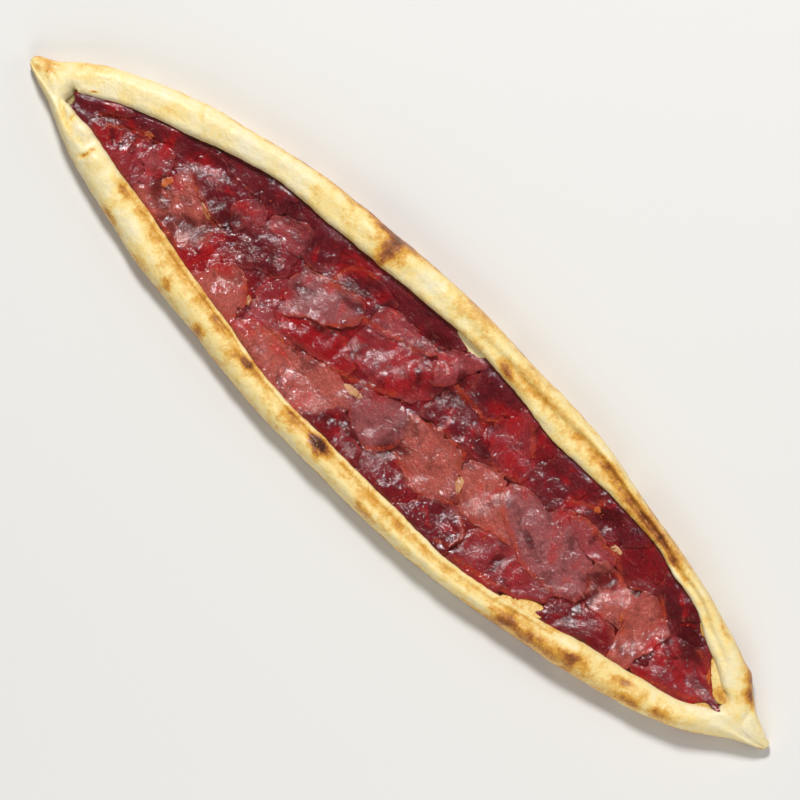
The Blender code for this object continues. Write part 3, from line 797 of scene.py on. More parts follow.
    def pinch(self) -> None:
        """Closes the two rims into one lump beyond the ends of the pocket."""
        back, front = (self.grid[:, int(np.argmin(np.abs(self.lanes - lip)))] for lip in (BACK_LIP, FRONT_LIP))
        closed = ease(back[:, 1] - front[:, 1], 3.4, 2.1)[:, None, None]
        first, last = (int(np.argmin(np.abs(self.lanes - lane))) for lane in (BACK_LIP - 3.5, FRONT_LIP + 3.5))
        t = np.linspace(0, 1, last - first + 1)[None, :, None]
        start, end = self.grid[:, first : first + 1], self.grid[:, last : last + 1]
        rise = 4 * t * (1 - t) * np.array((0, 0, 0.5))
        bridge = start + (end - start) * t + rise * np.linalg.norm(end - start, axis=2, keepdims=True) * 0.3
        self.grid[:, first : last + 1] += (bridge - self.grid[:, first : last + 1]) * closed
        padded = np.pad(closed[:, 0, 0], 4, mode="edge")
        near = np.max([padded[shift : shift + len(closed)] for shift in range(9)], axis=0)
        near = near * ease(np.abs(self.grid[:, 0, 0]).max() - np.abs(self.grid[:, 0, 0]), 1.0, 5.0)
        over = ease(self.lanes, BACK_SIDE + 1.5, BACK_SIDE + 4) * ease(self.lanes, FRONT_SIDE - 1.5, FRONT_SIDE - 4)
        share = 0.8 * near[:, None, None] * over[None, :, None]
        for _ in range(60):
            mean = (np.roll(self.grid, 1, 1) + np.roll(self.grid, -1, 1)) / 4
            mean[1:-1] += (self.grid[2:] + self.grid[:-2]) / 4
            mean[[0, -1]] *= 2
            self.grid += (mean - self.grid) * share

    def lip(self, x: np.ndarray, rim: Rim) -> tuple[np.ndarray, np.ndarray]:
        """Y and Z of a rim's inner lip at each X."""
        column = int(np.argmin(np.abs(self.lanes - (BACK_LIP if rim is Rim.BACK else FRONT_LIP))))
        line = self.grid[:, column]
        return np.interp(x, line[:, 0], line[:, 1]), np.interp(x, line[:, 0], line[:, 2])

    def floor(self, x: np.ndarray) -> np.ndarray:
        """Height of the pocket's floor at each X."""
        line = self.grid[:, int(np.argmin(np.abs(self.lanes - 15.5)))]
        return np.interp(x, line[:, 0], line[:, 2])

    def normals(self) -> np.ndarray:
        """Outward unit normals of the grid."""
        along = np.gradient(self.grid, axis=0)
        around = np.roll(self.grid, -1, axis=1) - np.roll(self.grid, 1, axis=1)
        across = np.cross(around, along)
        return across / np.maximum(np.linalg.norm(across, axis=2, keepdims=True), 1e-9)

    def toast_at(self, points: np.ndarray, lane: np.ndarray, up: np.ndarray) -> np.ndarray:
        """Toast of each point before its marks.

        Args:
            points: the points in millimetres.
            lane: their place round the ring.
            up: Z of their normals.

        Returns:
            A toast from 0, flour, to 1, dark brown.
        """
        columns = (0.0, 0.35, 0.7, 1.0)
        toast = np.full(len(points), 0.32)
        for rows, side, lip in ((BACK_TOAST, BACK_SIDE, BACK_LIP), (FRONT_TOAST, FRONT_SIDE, FRONT_LIP)):
            table = np.array(rows)
            share = (lane - side) / (lip - side)
            here = (share > -0.45) & (share <= 1.35)
            levels = np.stack([np.interp(points[here, 0], table[:, 0], table[:, i + 1]) for i in range(4)])
            place = np.clip(share[here], 0, 1)
            right = np.clip(np.searchsorted(columns, place), 1, 3)
            left = np.array(columns)[right - 1]
            t = ease((place - left) / (np.array(columns)[right] - left))
            index = np.arange(len(place))
            toast[here] = levels[right - 1, index] * (1 - t) + levels[right, index] * t
        below = (lane < 1.2) | (lane > 29.8)
        toast[below] = np.maximum(toast[below], 0.5 + 0.12 * (up[below] < -0.4))
        return toast

    def build(self, ground: "HeightGrid") -> bpy.types.Object:
        """Makes the boat's mesh with its folds, blisters and relief.

        Args:
            ground: where the filling lies, whose juice stains the floor.

        Returns:
            The finished piece.
        """
        normals = self.normals().reshape(-1, 3)
        points = self.grid.reshape(-1, 3).copy()
        lane = np.tile(self.lanes, len(self.grid))
        top = ease(normals[:, 2], 0.0, 0.5) * ease(points[:, 2], 6.5, 9.0)
        toast = self.toast_at(points, lane, normals[:, 2])
        uneven = 0.5 + 0.5 * layered_noise(points[:, :1], 14.0, 41)
        fold = ease(points[:, 0], -182, -168) * ease(points[:, 0], 140, 120) * (0.6 + 0.8 * uneven)
        rise = (0.3 + 0.6 * uneven) * bell(lane, 24.4, 1.3)
        rise += 0.6 * fold * (bell(lane, 20.5, 0.6) - bell(lane, 22.2, 0.7))
        toast += fold * (0.04 * bell(lane, 22.0, 0.8) - 0.14 * bell(lane, 20.4, 0.5))
        for x, y, length, width, height in SWELLS:
            gap = ((points[:, 0] - x) / length) ** 2 + ((points[:, 1] - y - AXIS) / width) ** 2
            rise += height * np.exp(-gap)
        for mark in MARKS:
            share = mark.share(points) * top
            rise += mark.rise * share
            toast += (mark.toast - toast) * np.clip(share * mark.strength * 1.1, 0, 1)
        for crease in CREASES:
            share = crease.share(points) * top
            rise -= crease.depth * share
            # the crease's toast is partly browning and partly painted shade in the fold
            toast += (crease.toast - toast) * share * crease.strength
        points += normals * (rise * top)[:, None]
        outer = (lane < BACK_LIP + 1) | (lane > FRONT_LIP - 1)
        relief = np.where(outer, 1.0, 0.3) * ease(points[:, 2], 0.2, 3.0)
        inner = (lane > BACK_LIP + 1.5) & (lane < FRONT_LIP - 1.5)
        juice = np.where(inner, ease(ground.wetness(points[:, 0], points[:, 1]), 0.15, 0.6), 0.0)
        crust = self.close(points)
        for name, values in (("toast", toast), ("relief", relief), ("juice", juice)):
            ends = [values.reshape(len(self.grid), -1)[i].mean() for i in (0, -1)]
            set_values(crust, name, np.concatenate((values, ends)))
        crust = self.add_relief(crust)
        keep_in_box(crust)
        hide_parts("crust")
        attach(crust, "root")
        return crust

    def close(self, points: np.ndarray) -> bpy.types.Object:
        """Joins the grid's points into one closed mesh, with a fan over each nose."""
        rows, columns = self.grid.shape[:2]
        index = np.arange(rows * columns).reshape(rows, columns)
        right = np.roll(index, -1, axis=1)
        quads = np.stack((index[:-1], right[:-1], right[1:], index[1:]), axis=-1).reshape(-1, 4)
        noses = np.stack([points[index[i]].mean(axis=0) for i in (0, -1)])
        fans = [(int(index[0, j]), rows * columns, int(right[0, j])) for j in range(columns)]
        fans += [(int(right[-1, j]), rows * columns + 1, int(index[-1, j])) for j in range(columns)]
        return fill_mesh("dough_boat", np.vstack((points, noses)), quads.tolist() + fans)

    def add_relief(self, crust: bpy.types.Object) -> bpy.types.Object:
        """Presses the small unevenness of baked dough into the skin."""
        recipe = Recipe("Dough relief", {"Lump size": "Float", "Lump height": "Float", "Grain size": "Float",
                                         "Grain height": "Float", "Seed": "Float", "Material": "Material"})
        group, tree, given = recipe.start()
        place = tree.add("GeometryNodeInputPosition").outputs[0]
        normal = tree.add("GeometryNodeInputNormal").outputs[0]
        mask = tree.add("GeometryNodeInputNamedAttribute", {"Name": "relief"}, data_type="FLOAT").outputs[0]
        total = None
        for kind, detail, offset in (("Lump", 2.0, 0.0), ("Grain", 3.0, 9.0)):
            size, height = given.outputs[f"{kind} size"], given.outputs[f"{kind} height"]
            seed = tree.sum("ADD", given.outputs["Seed"], offset)
            texture = tree.add("ShaderNodeTexNoise", {"Vector": place, "Scale": tree.sum("DIVIDE", 1.0, size),
                               "Detail": detail, "W": seed}, noise_dimensions="4D").outputs[0]
            swing = tree.sum("MULTIPLY", tree.sum("SUBTRACT", texture, 0.55), height)
            total = swing if total is None else tree.sum("ADD", total, swing)
        push = tree.scaled(normal, tree.sum("MULTIPLY", tree.sum("MULTIPLY", total, 2.0), mask))
        moved = tree.add("GeometryNodeSetPosition", {"Geometry": given.outputs["Geometry"], "Offset": push})
        recipe.close(tree, moved.outputs[0], given.outputs["Material"])
        return recipe.apply(group, crust, "dough_boat", Lump_size=self.lump_size, Lump_height=self.lump_height,
                            Grain_size=self.grain_size, Grain_height=self.grain_height, Seed=4.0,
                            Material=self.material)


# The filling


class Tone(Enum):
    """Meat colours, as levels of red, green and blue; the last two are painted light: a brighter red for light shining
    through thin meat, and a near-black red for painted shade in hollows.
    """

    MAROON = (96, 19, 26)
    DEEP_RED = (112, 16, 22)
    BRIGHT_RED = (140, 16, 21)
    RED_ROSE = (131, 36, 40)
    ROSE = (138, 54, 56)
    GREY_ROSE = (138, 72, 72)
    SALMON = (156, 74, 64)
    # painted glow: brighter red for light shining through thin meat
    PAINTED_GLOW = (152, 10, 16)
    # painted shade: near-black red for the shade in hollows
    PAINTED_SHADE = (72, 6, 9)


@dataclass(frozen=True)
class Look:
    """How one slice looks.

    Its tone, the height of its waves, its marbling, the strength of its baked edge, the lift of its ruffled edge, its
    curl (height, heading and half width in degrees), and how far its outline grows, in millimetres.
    """

    tone: Tone
    wave: float = 0.5
    marbling: float = 0.5
    edge: float = 0.6
    lift: float = 0.3
    curl: tuple[float, float, float] = (0.0, 0.0, 30.0)
    grow: float = 0.9

    def colour(self) -> np.ndarray:
        """The tone, as linear light."""
        return np.array(paint(*self.tone.value))


T = Tone
BED_LOOK = Look(T.DEEP_RED, 0.4, 0.2, 0.0, 0.3, grow=12.0)
LOOKS = {
    1: Look(T.MAROON, 0.7, 0.2), 2: Look(T.MAROON, 0.8, 0.2),
    3: Look(T.BRIGHT_RED, 0.5, 0.3, 1.0, 1.3, (1.4, 130, 60)), 4: Look(T.RED_ROSE, 0.8), 5: Look(T.MAROON, 0.8, 0.3),
    6: Look(T.ROSE, 0.8, 0.6, 0.9, 1.2, (1.0, 200, 50)), 7: Look(T.MAROON, 0.5, 0.3), 8: Look(T.SALMON, 0.5, 0.9),
    9: Look(T.MAROON, 0.6, 0.5, 0.9, 1.0, (1.2, -20, 45)), 10: Look(T.BRIGHT_RED, 0.8, 0.4),
    11: Look(T.MAROON, 0.6, 0.3), 12: Look(T.MAROON, 0.6, 0.3), 13: Look(T.ROSE, 1.0, 0.5),
    14: Look(T.MAROON, 0.8, 0.5), 15: Look(T.ROSE, 0.8, 0.7), 16: Look(T.SALMON, 0.6, 0.8, 0.5, 1.2),
    17: Look(T.MAROON, 1.0, 0.3), 18: Look(T.RED_ROSE, 0.9, 0.4), 19: Look(T.SALMON, 0.45, 1.0, 0.5),
    20: Look(T.BRIGHT_RED, 1.3, 0.2), 21: Look(T.ROSE, 0.8, 0.6, 0.9), 22: Look(T.MAROON, 0.5, 0.3),
    23: Look(T.MAROON, 0.6, 0.4, 0.6), 24: Look(T.ROSE, 0.7, 0.6, 1.0), 25: Look(T.RED_ROSE, 0.7, 0.5, 0.8),
    26: Look(T.GREY_ROSE, 0.4, 0.3, 1.0, 1.0, (1.8, -50, 50)), 27: Look(T.DEEP_RED, 0.9, 0.4),
    28: Look(T.MAROON, 0.9, 0.4, 0.5), 29: Look(T.SALMON, 0.4, 0.9, 1.0, 1.0, (0.8, 90, 60)),
    30: Look(T.GREY_ROSE, 0.5, 0.4, 0.9, 1.0, (1.0, 110, 60)), 31: Look(T.MAROON, 0.6, 0.3),
    32: Look(T.ROSE, 1.0, 0.8, 1.0), 33: Look(T.RED_ROSE, 0.5, 0.4, 1.0, 1.0, (0.8, 200, 60)),
    34: Look(T.DEEP_RED, 0.8, 0.5, 0.9), 35: Look(T.SALMON, 0.5, 0.9, 0.6), 36: Look(T.RED_ROSE, 0.7, 0.5, 1.0),
    37: Look(T.MAROON, 0.6, 0.4, 1.0, 1.2, (1.8, -10, 50)), 38: Look(T.MAROON, 1.3, 0.3, 0.8),
    39: Look(T.MAROON, 0.6, 0.3), 40: Look(T.DEEP_RED, 0.6, 0.4), 41: Look(T.GREY_ROSE, 0.5, 0.7, 1.0),
    42: Look(T.ROSE, 0.6, 0.6, 1.0, 1.2, (1.2, -20, 60)), 43: Look(T.DEEP_RED, 0.5, 0.3, 0.8),
    44: Look(T.SALMON, 0.6, 0.9, 0.7), 45: Look(T.MAROON, 0.8, 0.3), 46: Look(T.MAROON, 1.0, 0.4),
    47: Look(T.RED_ROSE, 0.6, 0.5, 0.7), 48: Look(T.BRIGHT_RED, 0.8, 0.3, 1.0), 49: Look(T.SALMON, 0.5, 0.9, 0.9),
}


# Upper slices that lie below the others, and one that lies above them
UNDER, OVER = (18, 21, 34, 36, 43, 48), (24,)

# Outlines of the upper slices: X and Y of each corner, either way round
OUTLINES = {
    1: ((-206, 8), (-200, 7.5), (-192, 11), (-186, 12), (-181, 15), (-178, 24), (-186, 23), (-196, 20), (-208, 15)),
    2: ((-230, 1), (-227, -5), (-220, -6), (-215, -2), (-212, 4), (-206, 8), (-203, 11), (-207, 15), (-214, 11),
        (-223, 7)),
    3: ((-209, 0.5), (-204, 3), (-200, 2.5), (-197, -1), (-199, -5), (-196, -11), (-201, -12), (-206, -9), (-208, -4)),
    4: ((-198, -10), (-195, -1), (-192, 6), (-186, 11), (-180, 9), (-176, 4), (-178, -3), (-176, -12), (-182, -13),
        (-190, -11)),
    5: ((-182, 24), (-172, 27), (-163, 30), (-160, 22), (-163, 15), (-168, 9), (-173, 14), (-179, 17)),
    6: ((-184, 9), (-179, 13), (-173, 14), (-168, 8), (-166, 1), (-168, -4), (-170, -10), (-177, -8), (-178, -2),
        (-183, 0)),
    7: ((-162, 29), (-150, 34), (-135, 38), (-120, 42), (-113, 38), (-114, 30), (-122, 26), (-135, 26), (-150, 27)),
    8: ((-163, 8), (-157, 10), (-148, 8), (-140, 4), (-131, 1), (-130, -6), (-127, -12), (-124, -18), (-127, -25),
        (-140, -23), (-155, -18), (-166, -15), (-173, -12), (-168, -3), (-166, 3)),
    9: ((-161, 21), (-159, 26), (-150, 28), (-141, 27), (-131, 25), (-124, 20), (-120, 12), (-124, 6), (-130, 2),
        (-140, 5), (-150, 8), (-159, 12)),
    10: ((-130, -9), (-124, -8), (-118, -12), (-118, -20), (-120, -30), (-130, -27), (-136, -24), (-134, -15)),
    11: ((-114, 38), (-110, 42), (-95, 42), (-84, 41), (-80, 36), (-84, 31), (-92, 32), (-104, 30), (-111, 31)),
    12: ((-127, 34), (-123, 40), (-114, 41), (-111, 34), (-111, 27), (-116, 24), (-121, 25), (-127, 29)),
    13: ((-130, 22), (-124, 26), (-116, 24), (-113, 18), (-119, 12), (-122, 6), (-127, 8), (-131, 14)),
    14: ((-119, 12), (-113, 18), (-104, 19), (-93, 19), (-89, 14), (-87, 7), (-92, 2), (-100, 0), (-106, -5),
         (-112, -6), (-115, 0), (-119, 5)),
    15: ((-114, 19), (-113, 26), (-107, 30), (-98, 33), (-88, 32), (-86, 24), (-88, 19), (-95, 18), (-104, 19)),
    16: ((-118, -13), (-112, -8), (-105, -7), (-101, -10), (-96, -15), (-93, -21), (-94, -27), (-97, -33),
         (-107, -31), (-117, -29), (-120, -22)),
    17: ((-92, 36), (-88, 41), (-79, 40), (-75, 32), (-73, 25), (-76, 20), (-82, 19), (-88, 22), (-90, 28)),
    18: ((-90, 2), (-87, 6), (-83, 4), (-81, -3), (-80, -10), (-82, -18), (-88, -20), (-92, -15), (-93, -8), (-91, -3)),
    19: ((-84, -19), (-75, -21), (-66, -20), (-58, -18), (-48, -15), (-40, -12), (-32, -12), (-22, -14), (-18, -18),
         (-17, -22), (-20, -27), (-26, -33), (-28, -41), (-45, -41), (-60, -40), (-75, -37), (-86, -34), (-88, -26)),
    20: ((-80, -12), (-75, -6), (-65, -1), (-52, 3), (-42, 4), (-35, 0), (-28, -3), (-25, -8), (-30, -11),
         (-42, -12), (-55, -15), (-70, -15)),
    21: ((-91, -14), (-84, -12), (-75, -12), (-64, -12), (-58, -17), (-66, -21), (-78, -22), (-88, -23)),
    22: ((-60, 38), (-45, 36), (-38, 32), (-30, 29), (-20, 27), (-12, 27), (-5, 31), (0, 37), (5, 40), (2, 46),
         (-20, 47), (-40, 47), (-58, 46)),
    23: ((-68, 27), (-66, 33), (-58, 37), (-45, 38), (-36, 35), (-36, 27), (-42, 22), (-50, 24), (-58, 22), (-66, 21)),
    24: ((-40, 24), (-38, 31), (-28, 33), (-16, 32), (-8, 33), (-3, 31), (-4, 28), (-12, 24), (-22, 22), (-30, 19),
         (-38, 17)),
    25: ((-38, 16), (-30, 20), (-20, 23), (-10, 24), (0, 27), (6, 24), (12, 20), (13, 14), (8, 8), (2, 2), (-4, 0),
         (-12, -3), (-22, -2), (-32, -1), (-38, 4), (-41, 10)),
    26: ((-83, 12), (-80, 18), (-74, 20), (-66, 20), (-58, 23), (-50, 26), (-45, 20), (-44, 14), (-48, 8), (-56, 2),
         (-64, -1), (-70, -5), (-74, -8), (-77, -4), (-82, -1), (-85, 5)),
    27: ((-26, -30), (-22, -26), (-17, -24), (-10, -27), (-3, -30), (3, -33), (1, -42), (-8, -43), (-20, -43),
         (-27, -40)),
    28: ((10, 6), (13, 13), (14, 20), (22, 21), (32, 21), (42, 18), (52, 16), (58, 12), (55, 6), (44, 4), (32, 3),
         (20, 1), (12, 1)),
    29: ((4, -3), (12, 0), (20, 2), (26, 4), (34, 3), (41, 3), (43, -2), (46, -6), (52, -12), (57, -17), (55, -21),
         (46, -24), (36, -29), (28, -26), (20, -22), (14, -22), (11, -14), (6, -8)),
    30: ((-18, -8), (-12, -5), (-5, -3), (3, -2), (8, -5), (13, -14), (13, -20), (8, -26), (2, -30), (-4, -28),
         (-10, -26), (-16, -21), (-18, -14)),
    31: ((17, 42), (24, 45), (36, 44), (44, 41), (45, 32), (43, 26), (38, 22), (30, 23), (22, 25), (21, 33)),
    32: ((-4, 31), (2, 37), (10, 41), (16, 45), (18, 40), (15, 33), (12, 24), (7, 19), (3, 22), (2, 28)),
    33: ((44, 28), (47, 36), (54, 41), (60, 37), (66, 31), (70, 24), (74, 17), (72, 12), (64, 9), (57, 9), (50, 13),
         (43, 20)),
    34: ((2, -31), (8, -27), (16, -23), (24, -25), (34, -28), (44, -25), (50, -26), (47, -34), (42, -44), (24, -45),
         (8, -44), (2, -38)),
    35: ((48, 3), (56, 6), (64, 8), (68, 6), (71, 0), (77, -5), (85, -10), (92, -14), (90, -17), (80, -17),
         (70, -19), (60, -20), (55, -16), (50, -8), (46, -3)),
    36: ((70, -26), (76, -20), (86, -16), (96, -15), (106, -17), (118, -17), (127, -18), (124, -25), (118, -31),
         (108, -35), (96, -38), (84, -42), (74, -42), (71, -33)),
    37: ((40, -30), (46, -24), (54, -22), (62, -23), (68, -27), (71, -30), (69, -35), (64, -41), (56, -44),
         (46, -45), (38, -42)),
    38: ((98, 32), (106, 38), (118, 40), (132, 38), (140, 34), (140, 27), (133, 24), (124, 20), (112, 21), (104, 18),
         (99, 24)),
    39: ((73, 24), (77, 32), (80, 38), (92, 41), (102, 40), (102, 30), (101, 22), (97, 14), (90, 11), (83, 13),
         (79, 20)),
    40: ((124, -26), (128, -21), (136, -16), (146, -11), (156, -10), (165, -14), (169, -21), (160, -26),
         (148, -30), (136, -33), (128, -31)),
    41: ((68, 7), (75, 10), (86, 12), (96, 9), (102, 18), (107, 16), (114, 12), (124, 8), (130, 5), (135, -3),
         (139, -9), (136, -15), (128, -18), (114, -19), (102, -19), (94, -14), (86, -11), (78, -7), (71, -1)),
    42: ((104, 17), (110, 21), (120, 20), (128, 18), (134, 18), (138, 13), (133, 9), (124, 7), (116, 10), (108, 13)),
    43: ((134, 24), (136, 32), (146, 36), (156, 35), (166, 29), (168, 20), (160, 14), (152, 10), (144, 10),
         (139, 14), (134, 19)),
    44: ((128, 5), (134, 12), (144, 11), (152, 9), (158, 3), (160, -4), (163, -9), (150, -10), (140, -10), (136, -4)),
    45: ((176, 22), (182, 28), (190, 24), (197, 19), (203, 14), (200, 8), (194, 4), (187, 4), (184, 10), (180, 16)),
    46: ((162, 24), (166, 30), (176, 29), (184, 22), (184, 14), (182, 7), (176, 8), (170, 13), (163, 19)),
    47: ((182, 6), (190, 9), (200, 11), (208, 10), (214, 6), (218, -1), (226, -4), (225, -7), (216, -6), (214, -11),
         (205, -13), (195, -14), (187, -14), (184, -6), (181, 0)),
    48: ((182, -18), (188, -12), (198, -10), (208, -9), (214, -8), (213, -13), (200, -18), (190, -22)),
    49: ((154, 8), (160, 13), (165, 15), (172, 12), (178, 9), (183, 6), (182, -4), (179, -12), (175, -20),
         (170, -22), (166, -16), (163, -8), (159, -2), (154, 3)),
}
# Lines along which the slices' edges are baked orange and crumbly: X and Y of each corner
BAKED_EDGES = (
    ((-44, 14), (-48, 8), (-54, 3), (-62, -1), (-69, -3), (-74, -8)),
    ((-48, 12), (-42, 18), (-34, 20), (-26, 22.5), (-14, 24), (-8, 27), (-3, 30)),
    ((-68, 23), (-67, 31), (-62, 36), (-52, 38)), ((-83, 18), (-75, 19), (-66, 20), (-58, 23), (-52, 24.5)),
    ((-62, -17), (-68, -20), (-76, -21)), ((-44, -13), (-33, -11), (-26, -9), (-18, -5), (-10, -3), (-5, 0)),
    ((12, -1), (20, 1), (25, 4), (34, 3), (42, 3), (44, -3), (50, -9), (56, -17)),
    ((16, -22), (24, -24), (32, -28), (38, -28.5), (48, -24), (55, -20)), ((4, -29.5), (9, -25), (13, -20)),
    ((58, 37), (64, 32), (69, 26)), ((56, 8), (66, 8), (72, 11)),
    ((69, 4), (74, -3), (80, -8), (88, -11), (94, -14), (99, -18), (110, -19), (126, -18)),
    ((56, -19.5), (68, -20), (78, -18), (88, -16)),
    ((104, 18), (112, 21), (120, 19.5), (128, 17), (135, 18), (143, 11)),
    ((60, -21.5), (68, -26), (71, -31), (69, -37), (62, -40)), ((16, 25), (24, 24.5), (30, 24), (38, 22), (43, 27)),
    ((76, -40), (90, -38), (100, -36), (112, -34), (119, -29)), ((200, 11), (208, 9), (213, 6), (218, 0), (226, -3)),
    ((188, -19), (204, -14), (213, -10), (217, -6)), ((152, 9), (158, 1), (160, -4), (165, -9)),
    ((167, 18), (172, 14), (177, 10)), ((-161, 12), (-152, 8), (-144, 5), (-136, 2), (-129, 2)),
    ((-208, 1), (-203, 4), (-199, 7), (-192, 10), (-187, 12)), ((-214, 2), (-209, 7), (-203, 10)),
    ((-102, -9), (-95, -15), (-92, -22), (-93, -28)), ((136, 18), (142, 13), (147, 9), (153, 8), (155, 4)),
    ((-162, -17), (-152, -17.5), (-140, -20)), ((98, 22), (104, 25), (110, 28), (112, 34)),
)

# Places that the meat leaves bare
BARES = ((-233, -3.5, 5.0, 5.0, 0), (217, 6, 14.0, 2.6, -42), (8, 45.5, 8.0, 1.6, -8), (221, -9, 6.0, 2.0, 38),
         (120, -31.5, 7.5, 2.6, 30), (108, -37, 6.0, 1.2, 14), (195, 20.5, 5.0, 2.0, -35))


def spots_of(rows: Sequence[Sequence[float]]) -> list[Spot]:
    """Spots from rows of numbers."""
    return [Spot(*row) for row in rows]


def scattered(count: int, shortest: float, longest: float, seed: int) -> list[Spot]:
    """Oval places strewn over the filling by a fixed draw, most of them small.

    Args:
        count: how many places.
        shortest: the least half length.
        longest: the greatest half length.
        seed: what fixes the draw.

    Returns:
        The places.
    """
    draw, spots = np.random.default_rng(seed), []
    for _ in range(count):
        x = draw.uniform(-212.0, 208.0)
        half_width = 38.0 * (1 - (abs(x) / 240.0) ** 2)
        length = shortest + (longest - shortest) * draw.random() ** 2
        spots.append(Spot(x, 2.5 + draw.uniform(-half_width, half_width), length,
                          length * draw.uniform(0.25, 0.6), draw.uniform(-90.0, 90.0)))
    return spots


# Where the filling leans towards the window, its hollows, which also get painted shade, and patches of painted glow for
# light through thin meat
LEANS = scattered(60, 3.0, 16.0, 17)
HOLLOWS_PAINTED_SHADE = scattered(36, 4.0, 15.0, 29)
PAINTED_GLOWS = scattered(28, 5.0, 16.0, 43)


def blended(levels: np.ndarray, i: np.ndarray, j: np.ndarray, s: np.ndarray, t: np.ndarray) -> np.ndarray:
    """Heights between a grid's points, s and t of the way from point i, j to the next ones."""
    return ((levels[i, j] * (1 - s) + levels[i + 1, j] * s) * (1 - t)
            + (levels[i, j + 1] * (1 - s) + levels[i + 1, j + 1] * s) * t)


@dataclass
class HeightGrid:
    """Heights of what the next slice lies on, on a square grid, in millimetres."""

    low: tuple[float, float] = (-244.0, -64.0)
    high: tuple[float, float] = (238.0, 64.0)
    step: float = 0.6
    window: float = math.radians(138.0)
    lean: float = 0.34
    hollow: float = 0.33
    floor_level: float = 6.0
    bed_level: float = 8.6
    wall_rise: float = 2.6
    most_relief: float = 2.6

    def __post_init__(self) -> None:
        """Starts flat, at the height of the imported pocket's floor."""
        shape = [int((b - a) / self.step) + 2 for a, b in zip(self.low, self.high)]
        self.levels = np.full(shape, self.floor_level)
        self.bare = np.ones(shape, bool)

    def shape(self, boat: DoughBoat) -> None:
        """Raises the support towards the pocket's walls and gives it the soft relief that the slices follow."""
        x = self.low[0] + np.arange(self.levels.shape[0]) * self.step
        y = self.low[1] + np.arange(self.levels.shape[1]) * self.step
        back, front = boat.lip(x, Rim.BACK)[0][:, None], boat.lip(x, Rim.FRONT)[0][:, None]
        beyond = np.maximum(y - back, front - y)
        place = np.stack([axis.ravel() for axis in np.meshgrid(x, y, indexing="ij")], axis=1)
        warp = np.stack([grain_noise(place, 14.0, k) for k in (91, 92)], axis=1)
        relief = 0.7 * grain_noise(place + 3 * warp, 15.0, 93) + 0.35 * grain_noise(place + 2 * warp, 6.0, 94)
        relief = relief.reshape(beyond.shape)
        x_all, y_all = (axis.reshape(beyond.shape) for axis in place.T)
        for spot in LEANS:
            wide = Spot(spot.x, spot.y, spot.length * 1.2 + 0.6, spot.width * 1.25 + 0.9, spot.turn)
            dx, dy = x_all - spot.x, y_all - spot.y - AXIS
            behind = -(dx * math.cos(self.window) + dy * math.sin(self.window))
            relief += self.lean * behind * np.exp(-wide.away(x_all, y_all))
        # hollows: dips in the relief; the same spots get painted shade in the slices' tone
        for spot in HOLLOWS_PAINTED_SHADE:
            relief -= self.hollow * spot.width * np.exp(-spot.away(x_all, y_all))
        relief = self.most_relief * np.tanh(relief / self.most_relief)
        support = self.bed_level + self.wall_rise * ease(beyond, -16.0, -1.0) + relief * ease(beyond, 0.5, -4.0)
        self.levels = np.maximum(support, boat.floor(x)[:, None] + 0.1)
        self.base = self.levels.copy()

    def at(self, x: np.ndarray, y: np.ndarray, levels: np.ndarray | None = None) -> np.ndarray:
        """Heights at these places, between the grid's points."""
        levels = self.levels if levels is None else levels
        u = np.clip((x - self.low[0]) / self.step, 0, levels.shape[0] - 1.001)
        v = np.clip((y - self.low[1]) / self.step, 0, levels.shape[1] - 1.001)
        i, j = u.astype(int), v.astype(int)
        s, t = u - i, v - j
        return blended(levels, i, j, s, t)

    def crowned(self) -> np.ndarray:
        """The heights with each point raised to its highest neighbour."""
        padded = np.pad(self.levels, 1, mode="edge")
        rows, columns = self.levels.shape
        return np.max([padded[a : a + rows, b : b + columns] for a in range(3) for b in range(3)], axis=0)

    def wetness(self, x: np.ndarray, y: np.ndarray) -> np.ndarray:
        """Share of the floor round each place that slices cover, from 0 to 1."""
        wet = (~self.bare).astype(float)
        for axis in (0, 1):
            wet = sum(np.roll(wet, shift, axis=axis) for shift in range(-4, 5)) / 9
        return self.at(x, y, wet)

    def lay(self, patch: "Patch", tops: np.ndarray) -> None:
        """Adds a slice.

        Args:
            patch: the slice's outline and grid.
            tops: its top's height at each point of the grid.
        """
        reach = patch.reach.max() + self.step
        spans = []
        for axis in (0, 1):
            first = int((patch.centre[axis] - reach - self.low[axis]) / self.step)
            last = int((patch.centre[axis] + reach - self.low[axis]) / self.step) + 2
            spans.append(np.arange(max(first, 0), min(last, self.levels.shape[axis])))
        i, j = np.meshgrid(*spans, indexing="ij")
        u, v, share = patch.place_of(self.low[0] + i * self.step, self.low[1] + j * self.step)
        inside = share <= 1.0
        low_u = np.clip(u.astype(int), 0, tops.shape[0] - 2)
        low_v = np.clip(v.astype(int), 0, tops.shape[1] - 2)
        s, t = np.clip(u - low_u, 0, 1), np.clip(v - low_v, 0, 1)
        height = blended(tops, low_u, low_v, s, t)
        old = self.levels[i, j]
        self.levels[i, j] = np.where(inside, np.maximum(old, height), old)
        self.bare[i, j] &= ~inside


